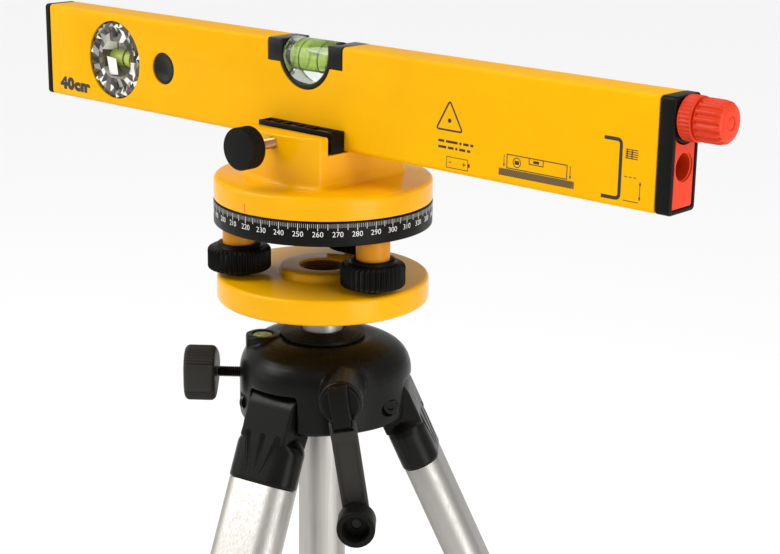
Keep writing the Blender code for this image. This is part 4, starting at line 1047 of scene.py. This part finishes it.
def make_base_plate():
    profile = [(FOOT_R - inset, z) for inset, z in rounded_ends(PLATE_FOOT, PLATE_BOTTOM + 2, 0.4)[:5]]
    profile += [(FOOT_R, PLATE_BOTTOM)]
    profile += [(PLATE_R - inset, z) for inset, z in rounded_ends(PLATE_BOTTOM, PLATE_TOP, 2.0, 8)]
    for k in range(5):
        turn = math.pi / 2 * k / 4
        profile.append((BOSS_R + 1.6 * (1 - math.sin(turn)), PLATE_TOP + 1.6 * (1 - math.cos(turn))))
    profile += [(BOSS_R - 0.15, PLATE_BOSS_TOP - 0.7), (BOSS_R - 0.7, PLATE_BOSS_TOP - 0.15)]
    profile += [(BOSS_R - 1.2, PLATE_BOSS_TOP), (EYE_R + 2.6, PLATE_BOSS_TOP), (EYE_R + 2.1, PLATE_BOSS_TOP - 0.5)]
    profile += [(EYE_R + 1.7, PLATE_BOSS_TOP - 1.0), (EYE_R + 1.6, PLATE_FOOT)]
    plate = mesh_from("foot_plate", turned(profile, count=192, ring=True), COLUMN)
    for number in (1, 2, 3):
        hole = moved(rod(STUD_R + GAP, 48, PLATE_BOTTOM + 2.7, 0), screw_place(number))
        combine(plate, "DIFFERENCE", COLUMN, hole)
    finished(plate, "column", "yellow", "yellow_plastic", "base_plate")
    # Painted shade: the eye's threaded liner is yellow plastic coloured brown, darkened down the bore.
    bore = list(reversed(thread(EYE_R + 0.7, 0.7, 1.5, PLATE_FOOT + 0.5, PLATE_BOSS_TOP - 1.3)))
    outside = [(EYE_R + 1.65, PLATE_BOSS_TOP - 0.9)], [(EYE_R + 1.55, PLATE_FOOT + 0.1)]
    liner = turned(outside[0] + bore + outside[1], count=96, ring=True)
    finished(mesh_from("eye_thread_painted_shade", liner, COLUMN), "column", "painted_recess_brown", "yellow_plastic")


def make_column():
    keep_node("centre_column", "steel", 0)
    keep_node("column_sleeve", "aluminium", 0)


# Tripod head --------------------------------------------------------------------------------------

CROWN_R = 42.3
CROWN_LOBE = 1.5
CROWN_BOTTOM = local_box("crown", COLUMN)[0].z
CROWN_TOP = -78.3
COLUMN_R = 10.2
SLEEVE_R = 11.8
SLEEVE_TOP = local_box("column_sleeve", COLUMN)[1].z
COLLAR_R, COLLAR_LOW, COLLAR_TOP = disc_of("crown_collar")
BUBBLE_LOW, BUBBLE_HIGH = local_box("bubble_vial", COLUMN)
BUBBLE_X = (BUBBLE_LOW.x + BUBBLE_HIGH.x) / 2
BUBBLE_Y = (BUBBLE_LOW.y + BUBBLE_HIGH.y) / 2
BUBBLE_R = (BUBBLE_HIGH.x - BUBBLE_LOW.x) / 2
BUBBLE_TOP = BUBBLE_HIGH.z
PIVOT_RADIUS = 35.0
PIVOT_Z = -107.5
KNUCKLE_HALF = 13.0
KNUCKLE_ROUND_R = 9.5
PIN_R = 2.5
PIN_HEAD_R = 3.8
PIN_HALF = 22.5
PIN_END = 18.0


def leg_azimuth(number):
    out = Vector(JOINTS[f"leg_{number}_fold"]["pos_m"]) - COLUMN.to_translation()
    return math.atan2(out.y, out.x)


def crown_section(scale, z):
    """Rounded triangle with its corners over the legs."""
    corner = leg_azimuth(2)
    return on_axis(circle(scale * CROWN_R, 144, lambda a: scale * CROWN_LOBE * math.cos(3 * (a - corner))), z, "Z")


def scaled_frame(place):
    """The same frame with its origin in millimetres from the column's datum, for shapes built there."""
    local = COLUMN.inverted() @ place
    return Matrix.Translation(local.to_translation() / MM) @ local.to_3x3().to_4x4()


CROWN_LEVELS = (   # share of the full section at each level
    (0.955, CROWN_BOTTOM), (0.985, CROWN_BOTTOM + 0.6), (1.0, CROWN_BOTTOM + 1.8), (1.0, -104), (1.0, -94),
    (0.99, -91), (0.965, -88), (0.925, -85.2), (0.865, -82.7), (0.78, -80.6), (0.68, -79.2), (0.58, CROWN_TOP),
)


def make_crown():
    crown = mesh_from("crown_casting", skin([crown_section(s, z) for s, z in CROWN_LEVELS]), COLUMN)
    to_crank = scaled_frame(CRANK)
    boss = rod(BUBBLE_R + 3.2, 64, -95, BUBBLE_TOP + 0.2, at=(BUBBLE_X, BUBBLE_Y))
    crank_boss = moved(drum(10.4, 20, 57.5, 0.8, "X"), to_crank)
    combine(crown, "UNION", COLUMN, boss, crank_boss)
    half = KNUCKLE_HALF + 0.4
    for number in (1, 2, 3):
        spin = Matrix.Rotation(leg_azimuth(number), 4, "Z")
        inner = PIVOT_RADIUS - KNUCKLE_ROUND_R - 3
        slot = block((inner, 70), (-half, half), (CROWN_BOTTOM - 10, PIVOT_Z + KNUCKLE_ROUND_R + 0.5))
        combine(crown, "DIFFERENCE", COLUMN, moved(slot, spin))
    cast(crown, 0.75, 6)
    vial_seat = rod(BUBBLE_R + GAP, 64, BUBBLE_TOP - 3.3, 0, at=(BUBBLE_X, BUBBLE_Y))
    combine(crown, "DIFFERENCE", COLUMN, rod(COLUMN_R + 0.4, 96, -130, 0), vial_seat)
    combine(crown, "DIFFERENCE", COLUMN, rod(SLEEVE_R + GAP, 96, -130, SLEEVE_TOP + GAP))
    for number in (1, 2, 3):
        counter = PIN_HALF - 2.2
        bore = turned([
            (PIN_HEAD_R + GAP, -60), (PIN_HEAD_R + GAP, -counter), (PIN_R + GAP, -counter),
            (PIN_R + GAP, PIN_END + GAP),
        ], "Y", 40)
        place = Matrix.Rotation(leg_azimuth(number), 4, "Z") @ lift(PIVOT_RADIUS, 0, PIVOT_Z)
        combine(crown, "DIFFERENCE", COLUMN, moved(bore, place))
    shaft_bore = rod(2.7, 32, 5, 70, "X")
    lock_bore = rod(3.0, 32, 5, 60, "X")
    combine(crown, "DIFFERENCE", COLUMN, moved(shaft_bore, to_crank), moved(lock_bore, scaled_frame(LOCK)))
    finished(crown, "tripod_head", "head", "head_plastic", "crown", crease=45)


def make_collar():
    inner = COLUMN_R + 0.5
    rings = 6
    step = (COLLAR_R - inner - 1.6) / rings
    rise = 0.25
    low = COLLAR_TOP - rise * rings
    profile = [(inner, COLLAR_LOW), (COLLAR_R, COLLAR_LOW), (COLLAR_R, low - 0.5), (COLLAR_R - 0.15, low - 0.15)]
    profile += [(COLLAR_R - 0.5, low)]
    for i in range(rings):
        radius = COLLAR_R - 1.2 - step * i
        profile += [(radius, low + rise * i), (radius - 0.1, low + rise * (i + 1) - 0.08)]
        profile += [(radius - 0.3, low + rise * (i + 1))]
    profile.append((inner, COLLAR_TOP))
    collar = mesh_from("collar_steps", turned(profile, count=128, ring=True), COLUMN)
    finished(collar, "tripod_head", "black", "black_plastic", "crown_collar", crease=35)


def make_bubble():
    place = lift(BUBBLE_X, BUBBLE_Y, 0)
    dome = [(BUBBLE_R - 0.1, BUBBLE_LOW.z), (BUBBLE_R, BUBBLE_LOW.z + 0.2), (BUBBLE_R, BUBBLE_TOP - 0.9)]
    dome += [(BUBBLE_R - 0.15, BUBBLE_TOP - 0.55), (BUBBLE_R - 0.7, BUBBLE_TOP - 0.25), (3.0, BUBBLE_TOP - 0.06)]
    dome += [(1.0, BUBBLE_TOP)]
    vial = mesh_from("head_vial", moved(turned(dome, count=64), place), COLUMN)
    air = moved(ball((1.7, 1.7, 0.6), 24, 14), place @ lift(0.6, 0.4, BUBBLE_TOP - 0.9))
    combine(vial, "DIFFERENCE", COLUMN, air)
    finished(vial, "tripod_head", "liquid", "vial_green", "bubble_vial")
    top = BUBBLE_TOP + 0.02
    target = turned([(2.3, top - 0.2), (2.3, top), (2.05, top), (2.05, top - 0.2)], count=64, ring=True)
    finished(mesh_from("head_vial_ring", moved(target, place), COLUMN), "tripod_head", "ink", "black_plastic")


def make_lock():
    low, high = 52.3, 68.3
    screw_r, knob_r = 2.7, 14.6
    shank = turned([(screw_r - 0.6, 10.7), (screw_r, 11.7)] + thread(screw_r, 0.35, 1.0, 12, low - GAP), "X", 48)
    finished(mesh_from("lock_thread", shank, LOCK), "lock_screw", "black_gloss", "black_plastic", "lock_screw")
    profile = [(3.0, low), (8.0, low + 0.1)]
    profile += [(knob_r - inset, x) for inset, x in rounded_ends(low + 0.3, high - 0.4, 2.4, 6)]
    profile += [(9.6, high - 0.3), (8.9, high - 0.9), (4.2, high - 0.9), (3.9, high)]

    def grip(turn, radius, level):
        """Three smooth flats, and fine ribs on the round corners between them."""
        corner = 0.5 + 0.5 * math.cos(3 * turn - math.pi)
        share = min(1.0, max(0.0, (radius - 6.0) / 6.0))
        fine = 0.55 * (0.5 - 0.5 * math.cos(60 * turn)) if corner > 0.55 and radius > 10.0 else 0.0
        return -share * 2.2 * (1 - corner) - fine

    knob = mesh_from("lock_wheel", turned(profile, "X", 360, wave=grip), LOCK)
    finished(knob, "lock_knob", "arm", "black_plastic", "lock_knob", crease=50)


# Crank --------------------------------------------------------------------------------------------

HINGE_X = 62.8
HINGE_Z = -8.5
ARM_HALF = 6.2
ARM_X = (60.6, 65.0)
GRIP_Z = -55.0
HUB_R = 8.9
HUB_X = (57.8, 60.2)


def make_crank_root():
    """Hub disc on the shaft, with the upright bar whose lower end is the arm's hinge."""
    keep_node("crank_shaft", "steel", 0)
    low, high = HUB_X
    hub = mesh_from("crank_boss", drum(HUB_R, low, high, 0.7, "X", 128), CRANK)
    half, face, top = 4.4, ARM_X[1], 9.0
    side = [(low, HINGE_Z)] + arc((HINGE_X, HINGE_Z), face - HINGE_X, 180, 360, 16)
    side += [(face, top - 2.0), (face - 0.6, top - 0.6), (face - 2.0, top), (low, top)]
    combine(hub, "UNION", CRANK, pillow(side, -half, half, 0.9, "Y"))
    combine(hub, "DIFFERENCE", CRANK, rod(1.5, 32, -10, 10, "Y", (HINGE_X, HINGE_Z)))
    finished(hub, "crank", "black", "black_plastic", "crank_hub", bevel=0.25)


def make_crank_arm():
    low, high = ARM_X
    half = ARM_HALF
    top = HINGE_Z - 3.0
    blade = [(half, top)] + [(-half, top)] + arc((0, GRIP_Z), half, 180, 360, 24)
    arm = mesh_from("crank_blade", pillow(blade, low, high, 0.9, "X"), CRANK)
    panel = [(half - 1.6, top - 5)] + [(-half + 1.6, top - 5)] + arc((0, GRIP_Z + 12), half - 1.6, 180, 360, 16)
    combine(arm, "DIFFERENCE", CRANK, prism(panel, high - 0.5, high + 2, "X"))
    r = high - HINGE_X
    ear = [(low, HINGE_Z - 6), (high, HINGE_Z - 6)] + arc((HINGE_X, HINGE_Z), r, 0, 180, 16)
    combine(arm, "UNION", CRANK, pillow(ear, -half, -4.8, 0.4, "Y"), pillow(ear, 4.8, half, 0.4, "Y"))
    pin = rod(1.2, 32, -6, 6, "Y", (HINGE_X, HINGE_Z))
    stub = moved(turned([(2.2, HINGE_X), (2.2, 70.3)], "X", 32), lift(0, 0, GRIP_Z))
    combine(arm, "UNION", CRANK, pin, stub)
    finished(arm, "crank_arm", "arm", "black_plastic", "crank_arm", bevel=0.25)


def make_crank_grip():
    low, high = 65.3, 78.0
    outer_r, cup_r, bore_r = 9.0, 6.2, 2.5
    floor = low + 5.4
    profile = [(bore_r, low), (outer_r - 2.4, low)]
    profile += [(outer_r - inset, x) for inset, x in rounded_ends(low + 0.2, high, 0.8)]
    profile += [(cup_r + 0.3, high), (cup_r, high - 0.4), (cup_r - 0.4, floor), (bore_r, floor)]
    grip = ribs(24, 0.35, low + 3.5, high - 1.5)
    body = turned(profile, "X", 192, ring=True, wave=lambda a, r, x: grip(a, r, x) if r > outer_r - 0.2 else 0)
    finished(mesh_from("crank_handle", moved(body, lift(0, 0, GRIP_Z)), CRANK), "crank_grip", "black",
             "black_plastic", "crank_grip", crease=50)


# Legs ---------------------------------------------------------------------------------------------

LEG_WIDTH = 35.0
LEG_DEPTH = 18.0
LEG_WALL = 1.3
LEG_LOWER_WIDTH = 30.0
LEG_LOWER_DEPTH = 13.0
KNUCKLE_END = -36.0
LEG_UPPER_END = -300.0
LEG_LOWER_TOP = -62.0
LEG_LOWER_END = -326.0
HOUSING_TOP = -284.0
HOUSING_END = -314.0
HOUSING_WIDTH = 40.0
HOUSING_DEPTH = 23.0
LEVER_X = 15.8
LEVER_Z = -307.5
LEVER_HALF = 9.5


def tube(width, depth, wall, low, high, edge=0.3):
    """Oval tube whose two ends have eased rims."""
    sections = [stadium(width - 2 * inset, depth - 2 * inset, z, 24) for inset, z in rounded_ends(low, high, edge, 2)]
    inner = (width - 2 * wall, depth - 2 * wall)
    return skin(sections + [stadium(*inner, high, 24), stadium(*inner, low, 24)], ring=True)


def make_knuckle(number):
    place = LEGS[number]
    r = KNUCKLE_ROUND_R
    side = arc((0, 0), r, 0, 180, 32) + [(-r, -16), (r, -16)]
    wide, deep = LEG_WIDTH + 0.8, LEG_DEPTH + 1.2
    shoe = skin([
        stadium(wide - 0.6, deep - 0.6, KNUCKLE_END), stadium(wide, deep, KNUCKLE_END + 0.6),
        stadium(wide, deep, -18.5), stadium(wide - 2.0, deep - 0.1, -16.0),
        stadium(2 * KNUCKLE_HALF - 0.5, deep - 0.6, -12.0),
    ])
    body = joined([prism(side, -KNUCKLE_HALF, KNUCKLE_HALF, "Y"), shoe])
    knuckle = mesh_from(f"knuckle_casting_{number}", body, place)
    cast(knuckle, 0.5, 4)
    face = deep / 2
    for fan in (-1, 0, 1):
        flute = turned([(0.5, -20.8), (0.8, -19.8), (1.8, -2.2), (1.5, -1.1), (0.7, -0.5)], count=32)
        spot = lift(face + 0.4, fan * 9.4, -12.2) @ Matrix.Rotation(math.radians(-16.5 * fan), 4, "X")
        combine(knuckle, "DIFFERENCE", place, moved(flute, spot))
    spigot = (LEG_WIDTH - 2 * LEG_WALL - 2 * GAP, LEG_DEPTH - 2 * LEG_WALL - 2 * GAP)
    combine(knuckle, "UNION", place, skin([stadium(*spigot, -52), stadium(*spigot, KNUCKLE_END + 2)]))
    combine(knuckle, "DIFFERENCE", place, rod(PIN_R + GAP, 48, -20, 20, "Y"))
    finished(knuckle, f"leg_{number}", "head", "head_plastic", f"knuckle_{number}", crease=50)


def make_pin(number):
    head = PIN_HALF - 1.9
    socket = 1.6
    profile = [(socket, -PIN_HALF + 1.2), (socket, -PIN_HALF), (PIN_HEAD_R - 0.5, -PIN_HALF)]
    profile += [(PIN_HEAD_R, -PIN_HALF + 0.5), (PIN_HEAD_R, -head), (PIN_R, -head)]
    profile += [(PIN_R, PIN_END)]
    pin = mesh_from(f"pin_{number}", turned(profile, "Y", 48), LEGS[number])
    finished(pin, "tripod_head", "black_gloss", "black_plastic", f"pivot_pin_{number}")


def make_tubes(number):
    place = LEGS[number]
    upper = tube(LEG_WIDTH, LEG_DEPTH, LEG_WALL, LEG_UPPER_END, KNUCKLE_END - GAP)
    finished(mesh_from(f"upper_tube_{number}", upper, place), f"leg_{number}", "aluminium", "satin_aluminium",
             f"leg_upper_{number}")
    lower = tube(LEG_LOWER_WIDTH, LEG_LOWER_DEPTH, 1.2, LEG_LOWER_END, LEG_LOWER_TOP)
    finished(mesh_from(f"lower_tube_{number}", lower, place), f"leg_lower_{number}", "aluminium",
             "satin_aluminium", f"leg_lower_{number}")


def make_housing(number):
    place = LEGS[number]
    step = LEG_UPPER_END - GAP
    upper_bore = (LEG_WIDTH + 2 * GAP, LEG_DEPTH + 2 * GAP)
    lower_bore = (LEG_LOWER_WIDTH + 2 * GAP, LEG_LOWER_DEPTH + 2 * GAP)
    sections = [
        stadium(HOUSING_WIDTH - 2 * inset, HOUSING_DEPTH - 2 * inset, z)
        for inset, z in rounded_ends(HOUSING_END, HOUSING_TOP, 1.4)
    ]
    sections += [stadium(*upper_bore, HOUSING_TOP), stadium(*upper_bore, step)]
    sections += [stadium(*lower_bore, step), stadium(*lower_bore, HOUSING_END)]
    housing = mesh_from(f"lock_housing_{number}", skin(sections, ring=True), place)
    ear_r = 3.6
    root = HOUSING_DEPTH / 2 - 1.2
    ear = [(root, LEVER_Z - ear_r)] + arc((LEVER_X, LEVER_Z), ear_r, -90, 90, 24) + [(root, LEVER_Z + ear_r)]
    inner, outer = LEVER_HALF + GAP, LEVER_HALF + GAP + 2
    combine(housing, "UNION", place, pillow(ear, inner, outer, 0.4, "Y"), pillow(ear, -outer, -inner, 0.4, "Y"))
    combine(housing, "DIFFERENCE", place, rod(1.6, 32, -20, 20, "Y", (LEVER_X, LEVER_Z)))
    finished(housing, f"leg_{number}", "black", "black_plastic", f"clamp_housing_{number}", bevel=0.3)


def make_lever(number):
    place = LEGS[number]
    root_r = 3.4
    side = arc((0, 0), root_r, 180, 360, 24)
    side += soften([(root_r, 3), (2.8, 17), (4.6, 21), (2.6, 22), (-0.4, 18), (-2.4, 3), (-root_r, 0)], 1.6)[:-1]
    plate = pillow(shifted(side, LEVER_X, LEVER_Z), -LEVER_HALF, LEVER_HALF, 0.5, "Y")
    lever = mesh_from(f"flip_lever_{number}", plate, place)
    trunnion = rod(1.3, 32, -LEVER_HALF - 2, LEVER_HALF + 2, "Y", (LEVER_X, LEVER_Z))
    combine(lever, "UNION", place, trunnion)
    finished(lever, f"lever_{number}", "black", "black_plastic", f"lock_lever_{number}")


def make_foot(number):
    place = LEGS[number]
    top = LEG_LOWER_END - GAP
    wide, deep = LEG_LOWER_WIDTH + 4.4, LEG_LOWER_DEPTH + 5.4
    tilt = place.to_3x3().col[2]

    def ground(point):
        """The level on the leg's own z at which this point of the sole meets the floor."""
        at = place @ (Vector((point.x, point.y, 0)) * MM)
        return (cad_low.z - at.z) / tilt.z / MM

    sole = stadium(wide, deep, 0)
    bottom = [Vector((p.x, p.y, ground(p))) for p in sole]
    sections = [bottom]
    for inset, drop in ((0, 6.0), (0.25, 4.6), (0.9, 3.0), (1.6, 1.2), (2.2, 0.4), (2.6, 0.0)):
        sections.append(stadium(wide - 2 * inset, deep - 2 * inset, top - drop))
    foot = mesh_from(f"rubber_foot_{number}", skin(sections), place)
    finished(foot, f"leg_lower_{number}", "rubber", "rubber", f"foot_{number}")


# Round vial ---------------------------------------------------------------------------------------

def spread_of(seed):
    """Repeatable number between 0 and 1 for a whole number."""
    value = math.sin(12.9898 * seed + 4.1414) * 43758.5
    return value - math.floor(value)


VIAL_PANE = [   # corners of the round vial's window
    (12.4, 4.2), (7.4, 9.6), (-5.6, 9.6), (-10.4, 4.6), (-10.4, -4.8), (-5.6, -9.6), (7.4, -9.6), (12.4, -4.2),
]


def make_round_vial():
    """Faceted clear disc drawn with opaque painted reflections: petals cut round the rim, and a window on the ampoule
    in front of grey panels.
    """
    face, back = ROUND_LOW.y, ROUND_HIGH.y
    place = LEVEL @ lift(ROUND_X * MM, 0, ROUND_Z * MM)
    window = VIAL_PANE
    # Painted shade: the clear core behind the facet tiles is dark.
    core = mesh_from("vial_core", drum(ROUND_R - 0.3, face + 2.2, back - 2.2, 0.3, "Y", 96), place)
    combine(core, "DIFFERENCE", place, prism(window, -20, 20, "Y"))
    finished(core, "level", "painted_reflection_dark", "clear_acrylic", "round_vial_block")
    # Each tile takes one painted reflection colour, picked at random and nudged by its bias.
    painted_tones = list(PAINTED_FACET_REFLECTIONS)
    tiles = {name: [] for name in painted_tones}

    def tile(corners, seed, bias=0.0):
        pick = spread_of(seed) + bias
        name = painted_tones[0 if pick < 0.40 else 1 if pick < 0.68 else 2 if pick < 0.90 else 3]
        for side, level in ((1, face), (-1, back)):
            bm = bmesh.new()
            bm.faces.new([bm.verts.new((x, level + side * sink, z)) for x, sink, z in corners])
            tiles[name].append(bm)

    def at(radius, turn, sink):
        return (radius * math.cos(turn), sink, radius * math.sin(turn))

    petals = 26
    step = 2 * math.pi / petals
    rings = ((ROUND_R, 0.7), (ROUND_R - 2.4, 0.1), (ROUND_R - 5.4, 1.3))
    for i in range(petals):
        for k, ((r_out, s_out), (r_in, s_in)) in enumerate(zip(rings, rings[1:])):
            a, b = (i + 0.5 * k) * step, (i + 0.5 * k + 1) * step
            mid = (a + b) / 2
            seed = 31 * i + 7 * k
            notch = 0.7 if k == 0 else 0.0
            tile([at(r_out - notch, a, s_out), at(r_out, mid, s_out - 0.3), at(r_in, mid, s_in)], seed)
            tile([at(r_out - notch, a, s_out), at(r_in, mid, s_in), at(r_in, mid - step, s_in)], seed + 3, -0.05)
            tile([at(r_out, mid, s_out - 0.3), at(r_out - notch, b, s_out), at(r_in, mid, s_in)], seed + 5, 0.08)
    rim = ROUND_R - 5.4
    for i in range(petals):
        a, b = i * step, (i + 1) * step
        near_a, near_b = window_edge(window, a), window_edge(window, b)
        inner = [(near_b[0], 0.5, near_b[1]), (near_a[0], 0.5, near_a[1])]
        tile([at(rim, a, 1.3), at(rim, b, 1.3)] + inner, 411 + 3 * i, 0.04)
    floor = -0.3 - face
    for i, (x, z) in enumerate(window):
        x2, z2 = window[(i + 1) % 8]
        # Painted shade on the window's walls: the bias steps the painted tone round the eight walls.
        shade = 0.1 + 0.25 * (i % 3)
        tile([(x, 0.5, z), (x2, 0.5, z2), (x2 * 0.8, floor, z2 * 0.8), (x * 0.8, floor, z * 0.8)], 523 + i, shade)
    # Painted highlight: this tile is forced white; the next three tiles are forced dark as painted dark reflections.
    tile([(-8.6, 2.0, 1.0), (-1.2, 2.0, 0.4), (-0.2, 2.4, -8.0), (-7.0, 2.4, -8.6)], 1, 5)
    tile([(-0.6, 2.6, 9.0), (0.8, 2.6, 9.0), (0.6, 2.6, 5.2), (-0.4, 2.6, 5.2)], 1, -5)
    tile([(-1.6, 0.2, 16.4), (1.4, 0.2, 15.8), (0.9, 0.2, 12.2), (-1.2, 0.2, 11.8)], 1, -5)
    tile([(-1.4, 0.2, -11.9), (1.4, 0.2, -11.6), (1.6, 0.2, -14.6), (0, 0.2, -16.2), (-1.7, 0.2, -14.4)], 1, -5)
    for name, shapes in tiles.items():
        finished(mesh_from(f"{name}_tiles", joined(shapes), place), "level", name, "clear_acrylic", crease=5)
    wall = prism([(x * 0.99, z * 0.99) for x, z in window], -0.3, 0.3, "Y")
    finished(mesh_from("vial_wall", wall, place), "level", "backing", "clear_acrylic")
    rings = [turned([(5.0, x), (5.25, x), (5.25, x + 0.7), (5.0, x + 0.7)], "X", 64, True) for x in (1.2, 6.6)]
    finished(mesh_from("round_vial_lines", joined(rings), place), "level", "vial_dark", "black_plastic")


def window_edge(window, turn):
    """Point of an eight-cornered window in the direction of an angle."""
    way = Vector((math.cos(turn), math.sin(turn)))
    for i, corner in enumerate(window):
        start, end = Vector(corner), Vector(window[(i + 1) % len(window)])
        along = end - start
        cross = along.x * way.y - along.y * way.x
        if abs(cross) < 1e-6:
            continue
        share = (start.y * way.x - start.x * way.y) / cross
        hit = start + along * share
        if -1e-6 <= share <= 1 + 1e-6 and hit.dot(way) > 0:
            return hit
    return way


def build():
    make_level_body()
    make_level_ends()
    make_laser_plate()
    make_battery_cap()
    make_top_vial()
    make_round_vial()
    make_button()
    make_prints()
    make_turntable()
    make_ring()
    make_clamp()
    make_base_plate()
    make_column()
    make_crown()
    make_collar()
    make_bubble()
    make_lock()
    make_crank_root()
    make_crank_arm()
    make_crank_grip()
    keep_node("laser_module", "brass")
    keep_node("battery", "wrap")
    keep_node("round_ampoule", "olive", 0)
    for number in (1, 2, 3):
        make_levelling_screw(number)
        make_knuckle(number)
        make_pin(number)
        make_tubes(number)
        make_housing(number)
        make_lever(number)
        make_foot(number)


make_camera()
make_stage()
MATERIALS = make_materials()
build()
